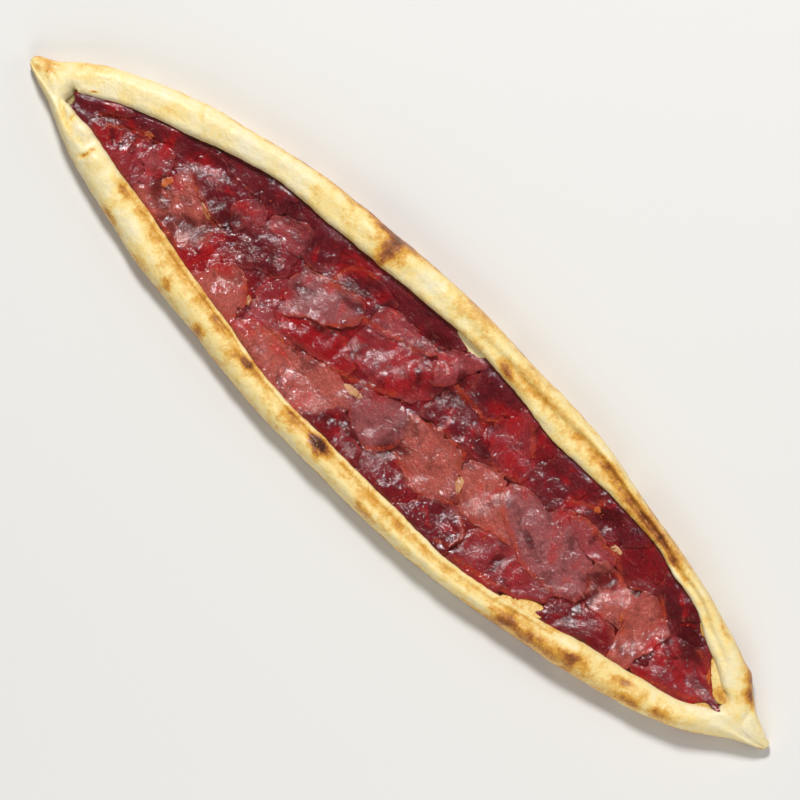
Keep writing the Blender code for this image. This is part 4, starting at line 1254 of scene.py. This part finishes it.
@dataclass
class Patch:
    """A round outline filled with a grid that has no pole: a square grid rounded off and stretched to the outline."""

    centre: np.ndarray
    reach: np.ndarray
    cell: float

    def __post_init__(self) -> None:
        """Finds the long axis and lays the grid along it."""
        heading = np.arange(len(self.reach)) * 2 * np.pi / len(self.reach)
        rim = np.stack((np.cos(heading), np.sin(heading)), axis=1) * self.reach[:, None]
        values, axes = np.linalg.eigh(rim.T @ rim / len(rim))
        self.axis = axes[:, 1]
        self.half = np.sqrt(2 * values[::-1])
        self.turn = math.atan2(self.axis[1], self.axis[0])
        steps = [max(9, int(round(2 * half / self.cell))) for half in self.half]
        u, v = np.meshgrid(*(np.linspace(-1, 1, n + 1) for n in steps), indexing="ij")
        x, y = u * np.sqrt(1 - v**2 / 2), v * np.sqrt(1 - u**2 / 2)
        share, way = np.hypot(x, y), np.arctan2(y, x)
        heading = self.turn + np.arctan2(self.half[1] * np.sin(way), self.half[0] * np.cos(way))
        span = self.reach_at(heading)
        self.heading, self.span = heading, share * span
        self.x = self.centre[0] + self.span * np.cos(heading)
        self.y = self.centre[1] + self.span * np.sin(heading)
        self.inside = (1 - share) * span

    def reach_at(self, heading: np.ndarray) -> np.ndarray:
        """Reach of the outline at these headings."""
        count = len(self.reach)
        place = heading % (2 * np.pi) / (2 * np.pi) * count
        low = np.floor(place).astype(int) % count
        share = place - np.floor(place)
        return self.reach[low] * (1 - share) + self.reach[(low + 1) % count] * share

    def place_of(self, x: np.ndarray, y: np.ndarray) -> tuple[np.ndarray, np.ndarray, np.ndarray]:
        """Where places fall on the grid, counted in its steps, and what share of the reach they lie at."""
        dx, dy = x - self.centre[0], y - self.centre[1]
        heading = np.arctan2(dy, dx)
        share = np.hypot(dx, dy) / self.reach_at(heading)
        own = heading - self.turn
        way = np.arctan2(self.half[0] * np.sin(own), self.half[1] * np.cos(own))
        a, b = np.minimum(share, 1) * np.cos(way), np.minimum(share, 1) * np.sin(way)
        root = 2 * math.sqrt(2)
        square = a**2 - b**2
        u, v = ((np.sqrt(np.maximum(2 + q + root * p, 0)) - np.sqrt(np.maximum(2 + q - root * p, 0))) / 2
                for p, q in ((a, square), (b, -square)))
        rows, columns = self.x.shape
        return (u + 1) / 2 * (rows - 1), (v + 1) / 2 * (columns - 1), share


def around(flat: np.ndarray) -> np.ndarray:
    """Mean colour of the slices about each place."""
    total, weights = np.zeros((len(flat), 4)), np.full((len(flat), 1), 1e-6)
    for number, outline in OUTLINES.items():
        gap = np.linalg.norm(flat - np.mean(outline, axis=0) - np.array((0, AXIS)), axis=1)[:, None]
        weight = bell(gap, 0, 15.0) + 1e-6
        total, weights = total + weight * LOOKS[number].colour(), weights + weight
    return total / weights


HIGHEST = 16.5  # no slice stands higher than this
LIP_GAP, LIP_SLOPE, UNDER_SLOPE = 0.5, 0.55, 0.6  # room under a lip, and how it widens inwards and closes outwards


@dataclass
class BeefSlice:
    """One thin slice of cured beef, laid over what is already in the boat."""

    node: str
    look: Look
    seed: int
    middle: float = 0.62
    rim: float = 0.26
    cell: float = 1.0
    headings: int = 240

    def outline(self, boat: DoughBoat) -> Patch:
        """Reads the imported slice's reach at each heading and makes it ragged, tucked in under the lips."""
        points, triangles = welded(self.node)
        self.tree = BVHTree.FromPolygons(points.tolist(), triangles.tolist())
        edges = np.vstack([triangles[:, [a, b]] for a, b in ((0, 1), (1, 2), (2, 0))])
        flat = points[:, :2]
        self.packed = Patch((flat.min(0) + flat.max(0)) / 2, np.ones(self.headings), 4.0)
        self.packed.reach = self.reach_of(self.packed.centre, flat[edges[:, 0]], flat[edges[:, 1]])
        centre, reach = self.packed.centre, self.packed.reach
        drawn = OUTLINES.get(int(self.node[-2:])) if self.node.startswith("slice") else None
        if drawn:
            line = np.array(drawn, float) + (0, AXIS)
            after = np.roll(line, -1, axis=0)
            area = line[:, 0] * after[:, 1] - after[:, 0] * line[:, 1]
            centre = ((line + after) * area[:, None]).sum(0) / (3 * area.sum())
            reach = self.reach_of(centre, line, after)
        waves = np.fft.rfft(reach)
        waves *= np.exp(-((np.arange(len(waves)) / (32.0 if drawn else 13.0)) ** 2))
        heading = np.arange(self.headings) * 2 * np.pi / self.headings
        c, s = np.cos(heading)[:, None], np.sin(heading)[:, None]
        reach = np.fft.irfft(waves, self.headings) + self.look.grow
        rim = np.hstack((c, s)) * reach[:, None] + centre
        rough = (0.9 * grain_noise(rim, 7.0, self.seed + 4) + 0.8 * grain_noise(rim, 3.6, self.seed + 1)
                 + 0.5 * grain_noise(rim, 1.9, self.seed + 2))
        notch = np.maximum(0, grain_noise(rim, 4.5, self.seed + 3) - 0.5) * 5.0
        reach = reach + rough - notch
        reach = reach + self.tucked(centre, heading, reach, boat)
        return Patch(centre, np.maximum(reach, 2.0), self.cell)

    def reach_of(self, centre: np.ndarray, start: np.ndarray, end: np.ndarray) -> np.ndarray:
        """Reach from the centre, at each heading, of a figure whose sides run from start to end."""
        heading = np.arange(self.headings) * 2 * np.pi / self.headings
        c, s = np.cos(heading)[:, None], np.sin(heading)[:, None]
        start, d = start - centre, end - start
        under = c * d[:, 1] - s * d[:, 0]
        under = np.where(np.abs(under) < 1e-9, 1e-9, under)
        out = (start[:, 0] * d[:, 1] - start[:, 1] * d[:, 0]) / under
        on = (start[:, 0] * s - start[:, 1] * c) / under
        return np.where((on >= -1e-6) & (on <= 1 + 1e-6) & (out > 0), out, 0).max(axis=1)

    @staticmethod
    def beyond(x: np.ndarray, y: np.ndarray, boat: DoughBoat) -> np.ndarray:
        """How far outside the pocket's mouth, or inside a bare place, each place is; negative within reach."""
        back, front = boat.lip(x, Rim.BACK)[0], boat.lip(x, Rim.FRONT)[0]
        out = np.maximum(y - back, front - y)
        for spot in spots_of(BARES):
            out = np.maximum(out, np.where(spot.away(x, y) < 1, 6.0, -9.0))
        return out

    def tucked(self, centre: np.ndarray, heading: np.ndarray, reach: np.ndarray, boat: DoughBoat) -> np.ndarray:
        """What to add to the reach so that an edge at a lip goes a little way under it."""
        c, s = np.cos(heading), np.sin(heading)
        gap = self.beyond(centre[0] + c * reach, centre[1] + s * reach, boat)
        near = ease(gap, -5.5, -3.5) * (gap < 5.5)
        near = np.convolve(np.concatenate((near[-3:], near, near[:3])), np.ones(7) / 7, "valid")
        grown = reach + near * np.clip(1.7 - gap, 0, 7.0)
        shares = np.linspace(0.3, 1.0, 71)[:, None]
        gaps = self.beyond(centre[0] + c * grown * shares, centre[1] + s * grown * shares, boat)
        allowed = np.where(gaps <= 1.9, shares, 0.3).max(axis=0)
        return grown * allowed - reach

    def packed_height(self, patch: Patch) -> np.ndarray:
        """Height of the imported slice's underside at each point of the patch."""
        up, found = Vector((0, 0, 1)), []
        dx, dy = patch.x - self.packed.centre[0], patch.y - self.packed.centre[1]
        away, way = np.hypot(dx, dy), np.arctan2(dy, dx)
        limit = 0.96 * self.packed.reach_at(way)
        span = np.minimum(away, limit)
        x, y = self.packed.centre[0] + span * np.cos(way), self.packed.centre[1] + span * np.sin(way)
        for px, py in zip(x.ravel(), y.ravel()):
            hit = self.tree.ray_cast(Vector((px, py, -5.0)), up)[0]
            if hit is None:
                hit = self.tree.find_nearest(Vector((px, py, 10.0)))[0]
            found.append(hit[2])
        return np.array(found).reshape(x.shape)

    def drape(self, patch: Patch, ground: HeightGrid, boat: DoughBoat) -> tuple[np.ndarray, np.ndarray]:
        """Lays the slice: it sinks onto what lies under it, waves, folds and curls.

        Args:
            patch: the slice's grid.
            ground: what lies under it; the slice is added to it.
            boat: the dough, whose lips the slice stays under.

        Returns:
            The height of the underside at each point, and the thickness there.
        """
        x, y, inside = patch.x, patch.y, patch.inside
        packed = self.packed_height(patch)
        floor = ground.at(x, y, ground.crowned())
        press = 0.8 + 0.15 * ease(inside, 9.0, 1.0)
        z = floor + 0.08 + np.maximum(packed - floor - 0.08, 0) * (1 - press)
        z = self.smoothed(z, floor, 1)
        z = z + self.look.wave * self.swells(patch) * (0.3 + 0.7 * ease(inside, 0.0, 3.0))
        place = pairs(x, y)
        ruffle = np.maximum(0, grain_noise(place, 6.0, self.seed + 8)).reshape(x.shape) ** 1.3
        z = z + 0.5 * self.look.lift * ruffle * ease(inside, 3.0, 0.0) + self.curled(patch)
        limit = self.ceiling(x, y, boat)
        z = np.maximum(soft_least(z, limit - 1.0, 0.3), floor + 0.05)
        z = self.smoothed(z, floor, 1)
        thickness = self.rim + (self.middle - self.rim) * ease(inside, 0.2, 4.0)
        ground.lay(patch, z + thickness)
        return z, thickness

    @staticmethod
    def smoothed(z: np.ndarray, floor: np.ndarray, rounds: int) -> np.ndarray:
        """Evens out the heights of a slice without letting it sink into what lies under it."""
        for _ in range(rounds):
            wide = np.pad(z, 1, mode="edge")
            mean = (wide[:-2, 1:-1] + wide[2:, 1:-1] + wide[1:-1, :-2] + wide[1:-1, 2:]) / 4
            z = np.maximum(z + 0.5 * (mean - z), floor + 0.05)
        return z

    def swells(self, patch: Patch) -> np.ndarray:
        """Soft swellings, sharp folds and ripples across the grain, in millimetres for a wave of 1."""
        place = pairs(patch.x, patch.y)
        warp = np.stack([grain_noise(place, 9.0, self.seed + k) for k in (21, 22)], axis=1)
        across = np.array((-patch.axis[1], patch.axis[0]))
        own = np.stack((place @ patch.axis, place @ across), axis=1)
        soft = 0.5 * grain_noise(place + 2 * warp, 8.0, self.seed + 6)
        line = 1 - np.minimum(1, np.abs(grain_noise(place + 3 * warp, 12.0, self.seed + 9)) * 3.4)
        folds = 1.0 * line**1.5 * ease(grain_noise(place, 15.0, self.seed + 10), -0.1, 0.6)
        ripple = 0.6 * grain_noise(own * (1.0, 0.4) + warp, 3.2, self.seed + 7)
        return (soft + folds + ripple).reshape(patch.x.shape)

    def curled(self, patch: Patch) -> np.ndarray:
        """Height added by the edge that curls up, if the slice has one."""
        height, heading, width = self.look.curl
        away = np.angle(np.exp(1j * (patch.heading - math.radians(heading))))
        return height * bell(away, 0, math.radians(width)) * ease(patch.inside, 8.0, 0.0) ** 1.6

    @staticmethod
    def ceiling(x: np.ndarray, y: np.ndarray, boat: DoughBoat) -> np.ndarray:
        """Highest that the slice may reach: free in the pocket, and low where it goes under a lip."""
        (back, back_up), (front, front_up) = boat.lip(x, Rim.BACK), boat.lip(x, Rim.FRONT)
        rooms = [up - LIP_GAP + LIP_SLOPE * np.maximum(gap, 0) - UNDER_SLOPE * np.maximum(-gap, 0)
                 for up, gap in ((back_up, back - y), (front_up, y - front))]
        return np.minimum(np.minimum(*rooms), HIGHEST)

    def build(self, ground: HeightGrid, boat: DoughBoat, material: bpy.types.Material) -> bpy.types.Object:
        """Makes the slice's closed mesh and dresses it.

        Args:
            ground: what the slice is laid on.
            boat: the dough round it.
            material: its finish.

        Returns:
            The finished piece.
        """
        patch = self.outline(boat)
        z, thickness = self.drape(patch, ground, boat)
        corners, faces = closed_sheet(patch.x, patch.y, z + thickness, z)
        made = fill_mesh(f"beef_{self.node}", corners, faces.tolist())
        self.dress(made, patch)
        made.data.materials.append(material)
        keep_in_box(made)
        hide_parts(self.node)
        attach(made, "root")
        return made

    def dress(self, made: bpy.types.Object, patch: Patch) -> None:
        """Stores the slice's tone, with painted glow and painted shade in it, its marbling, grain direction and baked
        edge on its mesh.
        """
        flat = pairs(patch.x, patch.y)
        across = np.array((-patch.axis[1], patch.axis[0]))
        own = flat - patch.centre
        grain = np.stack((own @ patch.axis, own @ across, np.full(len(flat), self.seed * 40.0)), axis=1) * MM
        inside = patch.inside.ravel()
        broad, fringe = grain_noise(flat, 7.0, self.seed + 11), grain_noise(flat, 2.2, self.seed + 12)
        edge = bell(inside, 0, 1.0 + 0.4 * broad + 0.4 * fringe) * 0.5 * self.look.edge
        edge *= ease(broad + 0.5 * fringe, 0.1, 0.6)
        gap = np.min([line_gap(*flat.T, line) for line in BAKED_EDGES], axis=0) + 0.5 * fringe
        edge = np.maximum(edge, bell(gap, 0, 1.3 + 0.5 * broad) * (0.65 + 0.35 * fringe))
        tone = np.tile(self.look.colour(), (len(flat), 1))
        near = ease(inside, 7.0, 0.0)[:, None] * 0.65
        tone += (around(flat) - tone) * near
        rough = 1 + 0.3 * layered_noise(flat, 5.0, 57)
        # painted glow brightens the tone where light would shine through thin meat; painted shade darkens it in the
        # hollows
        for rows, level, most in ((PAINTED_GLOWS, Tone.PAINTED_GLOW, 0.6), (HOLLOWS_PAINTED_SHADE, Tone.PAINTED_SHADE, 0.8)):
            shares = [np.exp(-spot.away(*flat.T) * rough**2) for spot in rows]
            share = most * ease(np.max(shares, axis=0), 0.1, 0.75)[:, None]
            tone += (np.array(paint(*level.value)) - tone) * share
        for name, values in (("tone", tone), ("grain", grain), ("edge", edge),
                             ("marbling", np.full(len(flat), self.look.marbling))):
            set_values(made, name, np.concatenate((values, values)))


@dataclass
class Filling:
    """The dark bed below the slices, its dark red painted shade, and all the slices."""

    boat: DoughBoat
    finish: CuredBeef = field(default_factory=CuredBeef)
    ground: HeightGrid = field(default_factory=HeightGrid)

    def build(self) -> list[bpy.types.Object]:
        """Makes the dark bed, then lays the lower slices and the upper ones.

        Returns:
            The finished pieces.
        """
        self.ground.shape(self.boat)
        material = self.finish.material()
        beds = sorted(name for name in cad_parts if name.startswith("bed_"))
        uppers = sorted((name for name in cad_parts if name.startswith("slice_")),
                        key=lambda name: (int(name[-2:]) in OVER, int(name[-2:]) not in UNDER, name))
        # the dark bed, whose colour is painted shade, goes in first
        made = [MeatBedPaintedShade().build(self.ground, self.boat, material)]
        for node in beds + uppers:
            number = int(node[-2:])
            look, seed = (BED_LOOK, 3 + 29 * number) if node in beds else (LOOKS[number], 293 + 29 * number)
            piece = BeefSlice(node, look, seed)
            made.append(piece.build(self.ground, self.boat, material))
        LOG.info("juice bed and slices: %d, %d faces", len(made), sum(len(o.data.polygons) for o in made))
        return made


class Stuff(Enum):
    """What the small bits between the slices are made of, as levels of red, green and blue."""

    CREAM = (200, 148, 102)
    TAN = (178, 112, 66)
    AMBER = (186, 92, 40)
    RUST = (150, 46, 28)


@dataclass(frozen=True)
class Bit(Spot):
    """One small bit that lies on the slices or in a gap between them."""

    stuff: Stuff
    height: float = 0.6


S = Stuff
BITS = (
    Bit(-22, -13, 6.2, 2.2, 4, S.CREAM, 0.3), Bit(51.5, -11, 4.6, 1.9, -58, S.CREAM, 0.35),
    Bit(133.5, 20, 3.2, 1.5, 0, S.CREAM, 0.6), Bit(-140, 3, 5.4, 1.1, -22, S.TAN, 0.6),
    Bit(-165.5, 0.7, 3.0, 2.4, 60, S.AMBER, 0.5), Bit(-162, -5, 3.4, 1.3, -20, S.RUST, 0.4),
    Bit(-188.5, 12, 2.4, 1.4, 20, S.AMBER, 0.6), Bit(-93, -15, 2.6, 1.2, -60, S.TAN, 0.5),
    Bit(112.5, 28, 1.8, 1.2, 0, S.AMBER, 0.5), Bit(172, 14, 5.4, 1.0, -38, S.RUST, 0.5),
    Bit(159, -4, 2.0, 0.9, -60, S.AMBER, 0.4), Bit(213, 4.5, 4.4, 1.0, -48, S.AMBER, 0.5),
)


def worn_oval(length: float, width: float, turn: float, wear: Sequence[tuple[float, float, int]]) -> np.ndarray:
    """Reach of a turned oval whose outline is worn.

    Args:
        length: half its length, in millimetres.
        width: half its width.
        turn: its turn, in degrees.
        wear: depth, size and seed of each noise along the outline.

    Returns:
        The reach at 120 even headings.
    """
    heading = np.arange(120) * math.pi / 60
    turned = heading - math.radians(turn)
    reach = 1 / np.hypot(np.cos(turned) / length, np.sin(turned) / width)
    rim = np.stack((np.cos(heading), np.sin(heading)), axis=1) * reach[:, None]
    for depth, size, seed in wear:
        reach = reach + depth * grain_noise(rim, size, seed)
    return reach


# Stretches where the pocket's own dough shows between the filling and the rim: X, Y, half length, half width,
# turn, height gained over the half width, toast
LININGS = (
    (217, 7.5, 14.0, 5.5, -42, 0.5, 0.5),
    (221, -9.0, 9.0, 3.6, 26, 0.4, 0.42), (6.5, 45.5, 10.0, 3.6, -4, 0.9, 0.3),
    (118, -34, 13.0, 5.0, 22, 0.5, 0.5), (195, 21.0, 8.0, 4.0, -34, 0.4, 0.66),
)


@dataclass
class DoughLining:
    """The pocket's own dough, where the filling leaves it bare below the rim."""

    cell: float = 0.7
    thickness: float = 2.0

    def build(self, ground: HeightGrid, boat: DoughBoat) -> bpy.types.Object:
        """Makes the bare stretches, as one piece of closed sheets.

        Args:
            ground: the filling they end against.
            boat: the dough whose finish they take.

        Returns:
            The finished piece.
        """
        corners: list[np.ndarray] = []
        faces: list[np.ndarray] = []
        toasts: list[np.ndarray] = []
        for number, (x, y, length, width, turn, gain, toast) in enumerate(LININGS):
            reach = worn_oval(length, width, turn, ((0.5, 4.0, 900 + number), (0.15, 1.5, 930 + number)))
            patch = Patch(np.array((x, y + AXIS)), reach, self.cell)
            across = math.radians(turn) + math.pi / 2
            out = (patch.x - x) * math.cos(across) + (patch.y - y - AXIS) * math.sin(across)
            out = out / width * (1 if y > -4 else -1)
            top = ground.at(patch.x, patch.y, ground.base) + 0.3 + gain * np.clip(out + 0.8, 0, 2)
            top -= 0.8 * ease(patch.inside, 1.2, 0.0)
            top = np.minimum(top, BeefSlice.ceiling(patch.x, patch.y, boat))
            sheet, closed = closed_sheet(patch.x, patch.y, top, top - self.thickness)
            faces.append(closed + sum(map(len, corners)))
            corners.append(sheet)
            # painted shade: the lining's toast is darker towards the filling and paler towards the rim
            toasts.append(np.tile((toast + 0.08 * np.clip(-out, -1, 1)).ravel(), 2))
        made = fill_mesh("dough_lining", np.vstack(corners), np.vstack(faces).tolist())
        for name, values in (("toast", np.concatenate(toasts)), ("juice", 0.0 * np.concatenate(toasts))):
            set_values(made, name, values)
        made.data.materials.append(boat.material)
        keep_in_box(made)
        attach(made, "root")
        return made


@dataclass
class MeatBedPaintedShade:
    """A dark red sheet with an uneven top that fills the pocket below the slices; its dark red is painted shade for the
    meat seen between them.
    """

    step: float = 1.2
    tuck: float = 4.0
    first: float = -229.0
    last: float = 228.0
    thickness: float = 0.5
    # painted shade: the bed's dark red stands for the shaded meat in the gaps between slices
    colour: Colour = paint(96, 10, 14)
    marbling: float = 0.1

    def build(self, ground: HeightGrid, boat: DoughBoat, material: bpy.types.Material) -> bpy.types.Object:
        """Makes the bed as one closed sheet, before any slice is laid.

        Args:
            ground: the support that the slices will lie on.
            boat: the dough round it.
            material: the meat's finish.

        Returns:
            The finished piece.
        """
        x = np.arange(self.first, self.last, self.step)
        back, front = boat.lip(x, Rim.BACK)[0] + self.tuck, boat.lip(x, Rim.FRONT)[0] - self.tuck
        share = np.linspace(0, 1, 64)
        y = front[:, None] + (back - front)[:, None] * share
        x = np.repeat(x[:, None], 64, axis=1)
        flat = pairs(x, y)
        rough = 0.25 * layered_noise(flat, 3.0, 950).reshape(x.shape)
        top = np.minimum(ground.at(x, y) - 0.3 + rough, BeefSlice.ceiling(x, y, boat))
        low = boat.floor(x) + 0.3
        top = low + np.maximum(top - low, 0) * ease(x, -228, -220) * ease(x, 227, 219)
        corners, faces = closed_sheet(x, y, top, top - self.thickness)
        made = fill_mesh("juice_bed", corners, faces.tolist())
        count = len(corners)
        for name, values in (("tone", np.tile(self.colour, (count, 1))), ("grain", corners * MM),
                             ("edge", np.zeros(count)), ("marbling", np.full(count, self.marbling))):
            set_values(made, name, values)
        made.data.materials.append(material)
        keep_in_box(made)
        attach(made, "root")
        return made


@dataclass
class SmallBits:
    """Fat and melted cheese that show between the slices."""

    cell: float = 0.5
    finish: SoftFat = field(default_factory=SoftFat)

    def build(self, ground: HeightGrid) -> bpy.types.Object:
        """Makes all the bits, as one piece of closed lumps.

        Args:
            ground: what the bits lie on.

        Returns:
            The finished piece.
        """
        corners: list[np.ndarray] = []
        faces: list[np.ndarray] = []
        tones: list[np.ndarray] = []
        for number, bit in enumerate(BITS):
            wear = ((0.8, 2.4, 700 + number), (0.4, 1.0, 750 + number))
            reach = worn_oval(bit.length, bit.width, bit.turn, wear)
            patch = Patch(np.array((bit.x, bit.y + AXIS)), reach, self.cell)
            under = ground.at(patch.x, patch.y)
            flat = pairs(patch.x, patch.y)
            bulge = 0.6 + 0.5 * grain_noise(flat, 1.7, 800 + number).reshape(under.shape)
            rise = 0.5 * bit.height * bulge * ease(patch.inside, 0.0, 1.0)
            sheet, closed = closed_sheet(patch.x, patch.y, under + rise + 0.04, under - 0.3)
            faces.append(closed + sum(map(len, corners)))
            corners.append(sheet)
            tones.append(np.tile(paint(*bit.stuff.value), (len(sheet), 1)))
        made = fill_mesh("small_bits", np.vstack(corners), np.vstack(faces).tolist())
        set_values(made, "tone", np.vstack(tones))
        made.data.materials.append(self.finish.material())
        keep_in_box(made)
        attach(made, "root")
        return made


# Heaps of crumbs: X, Y, spread along X and along Y, number of crumbs
HEAPS = (
    (-69, -18.5, 9, 1.6, 60), (112, 27, 4, 3, 16), (30, 23, 10, 1.5, 24),
    (-90, -14, 3, 4, 16), (160, -4, 2, 5, 16), (-189, 11, 4, 2, 14),
)


@dataclass
class SpiceCrumbs:
    """Crumbs of spice paste along the slices' edges and, thinly, all over them."""

    finish: SpicePaste = field(default_factory=SpicePaste)
    spacing: float = 0.55
    spread: float = 0.7
    loose: int = 260
    unevenness: float = 0.0003
    grain: float = 0.0007
    seed: int = 5

    def places(self, ground: HeightGrid) -> tuple[np.ndarray, np.ndarray]:
        """Picks where the crumbs lie.

        Args:
            ground: what they lie on.

        Returns:
            Their middles in millimetres and their sizes.
        """
        rng = np.random.default_rng(77)
        found = []
        for corners in BAKED_EDGES:
            line = np.array(corners, float) + (0, AXIS)
            lengths = np.concatenate(([0], np.cumsum(np.linalg.norm(np.diff(line, axis=0), axis=1))))
            on = np.arange(0, lengths[-1], self.spacing)
            place = np.stack([np.interp(on, lengths, line[:, k]) for k in (0, 1)], axis=1)
            keep = grain_noise(place, 5.0, 61) + rng.normal(0, 0.25, len(place)) > 0.05
            found.append(place[keep] + rng.normal(0, self.spread, (keep.sum(), 2)))
        for x, y, length, width, count in HEAPS:
            found.append(rng.normal(0, 0.5, (count, 2)) * (length, width) + (x, y + AXIS))
        found.append(rng.uniform((-225, -40), (225, 42), (self.loose, 2)))
        flat = np.vstack(found)
        flat = flat[~ground.bare[tuple(((flat - ground.low) / ground.step).astype(int).T)]]
        sizes = rng.uniform(0.22, 0.5, len(flat)) * (1 + 0.5 * (rng.random(len(flat)) > 0.9))
        return np.column_stack((flat, ground.at(*flat.T) + 0.1 * sizes)), sizes

    def build(self, ground: HeightGrid) -> bpy.types.Object:
        """Makes the crumbs with geometry nodes.

        Args:
            ground: what the crumbs lie on.

        Returns:
            The finished piece.
        """
        middles, sizes = self.places(ground)
        seeds = fill_mesh("spice_crumbs", middles, [])
        set_values(seeds, "size", sizes * MM)
        recipe = Recipe("Crumbs", {"Unevenness": "Float", "Grain": "Float", "Seed": "Int", "Material": "Material"})
        group, tree, given = recipe.start()
        ball = tree.add("GeometryNodeMeshIcoSphere", {"Radius": 1.0, "Subdivisions": 2}).outputs[0]
        size = tree.add("GeometryNodeInputNamedAttribute", {"Name": "size"}, data_type="FLOAT").outputs[0]
        turn = tree.add("FunctionNodeRandomValue", {0: (0, 0, 0), 1: (0.7, 0.7, 6.28), "Seed": given.outputs["Seed"]},
                        data_type="FLOAT_VECTOR").outputs[0]
        shape = tree.add("FunctionNodeRandomValue", {0: (0.8, 0.5, 0.4), 1: (1.6, 1.0, 0.7),
                         "Seed": given.outputs["Seed"]}, data_type="FLOAT_VECTOR").outputs[0]
        scale = tree.scaled(shape, size)
        dots = tree.add("GeometryNodeInstanceOnPoints", {"Points": given.outputs["Geometry"], "Instance": ball,
                        "Rotation": turn, "Scale": scale}).outputs[0]
        real = tree.add("GeometryNodeRealizeInstances", {0: dots}).outputs[0]
        place = tree.add("GeometryNodeInputPosition").outputs[0]
        texture = tree.add("ShaderNodeTexNoise", {"Vector": place, "Scale": tree.sum("DIVIDE", 1.0,
                           given.outputs["Grain"]), "Detail": 1.0}).outputs["Color"]
        push = tree.scaled(tree.vector("SUBTRACT", texture, (0.5, 0.5, 0.5)), given.outputs["Unevenness"])
        moved = tree.add("GeometryNodeSetPosition", {"Geometry": real, "Offset": push}).outputs[0]
        recipe.close(tree, moved, given.outputs["Material"])
        made = recipe.apply(group, seeds, "spice_crumbs", Unevenness=self.unevenness, Grain=self.grain,
                            Seed=self.seed, Material=self.finish.material())
        keep_in_box(made)
        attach(made, "root")
        return made


# The setting


@dataclass
class Setting:
    """Pale floor, soft studio light and the camera, straight above and turned with the boat lying across it."""

    view_width: float = 0.41203
    roll: float = 43.03
    lens: float = 300.0
    level: float = 0.012
    aim_right: float = -0.5
    aim_up: float = 0.75

    def build(self) -> None:
        """Makes the floor, the lights and the camera."""
        self.floor()
        self.world()
        self.softbox("key_light", (-1.34, 1.21, 2.15), (0, 0, 0), 0.5, 74.0)
        self.softbox("fill_light", (0.9, -1.0, 0.85), (0, 0, 0), 1.2, 13.0, False)
        self.softbox("side_light", (0.9, 1.1, 0.8), (0, 0, 0), 1.0, 6.0, False)
        self.camera()
        bpy.context.scene.view_settings.view_transform = "Standard"

    def floor(self) -> None:
        """Makes the floor."""
        half = 4000.0
        corners = np.array([(-half, -half, -0.05), (half, -half, -0.05), (half, half, -0.05), (-half, half, -0.05)])
        made = fill_mesh("floor", corners, [(0, 1, 2, 3)])
        made.data.materials.append(PaleFloor().material())

    def world(self) -> None:
        """Makes the even light from all sides."""
        world = bpy.data.worlds.new("studio")
        world.use_nodes = True
        tree = Tree(world.node_tree)
        shader = tree.add("ShaderNodeBackground", {"Color": (1, 1, 1, 1), "Strength": 0.08})
        tree.add("ShaderNodeOutputWorld", {"Surface": shader.outputs[0]})
        bpy.context.scene.world = world

    def softbox(self, name: str, place: Sequence[float], aim: Sequence[float], size: float, power: float,
                mirrored: bool = True) -> None:
        """Makes one square soft light.

        Args:
            name: the light's name.
            place: where it hangs, in metres.
            aim: the point that it faces.
            size: its side.
            power: its power in watts.
            mirrored: whether glossy surfaces mirror it.
        """
        data = bpy.data.lights.new(name, "AREA")
        data.size, data.energy = size, power
        made = bpy.data.objects.new(name, data)
        made.location = place
        made.rotation_euler = (Vector(aim) - Vector(place)).to_track_quat("-Z", "Y").to_euler()
        made.visible_glossy = mirrored
        bpy.context.scene.collection.objects.link(made)

    def camera(self) -> None:
        """Makes the camera."""
        data = bpy.data.cameras.new("camera")
        data.lens, data.sensor_width = self.lens, 36.0
        distance = self.view_width / 2 / (18.0 / self.lens)
        turn = math.radians(self.roll)
        right = Vector((math.cos(turn), math.sin(turn), 0))
        up = Vector((-math.sin(turn), math.cos(turn), 0))
        made = bpy.data.objects.new("camera", data)
        made.location = (Vector((0, AXIS * MM, self.level + distance)) + right * self.aim_right * MM
                         + up * self.aim_up * MM)
        made.rotation_euler = (0, 0, turn)
        data.clip_start, data.clip_end = 0.1, 20.0
        bpy.context.scene.collection.objects.link(made)
        bpy.context.scene.camera = made


def main() -> None:
    """Builds the pide piece by piece."""
    logging.basicConfig(level=logging.INFO, format="%(name)s: %(message)s")
    boat = DoughBoat()
    boat.skin()
    filling = Filling(boat)
    LOG.info("built %d pieces of filling", len(filling.build()))
    LOG.info("built %s", DoughLining().build(filling.ground, boat).name)
    for piece in (SmallBits().build(filling.ground), SpiceCrumbs().build(filling.ground)):
        LOG.info("built %s, %d faces", piece.name, len(piece.data.polygons))
    LOG.info("built %s", boat.build(filling.ground).name)
    Setting().build()


if __name__ == "__main__":
    main()
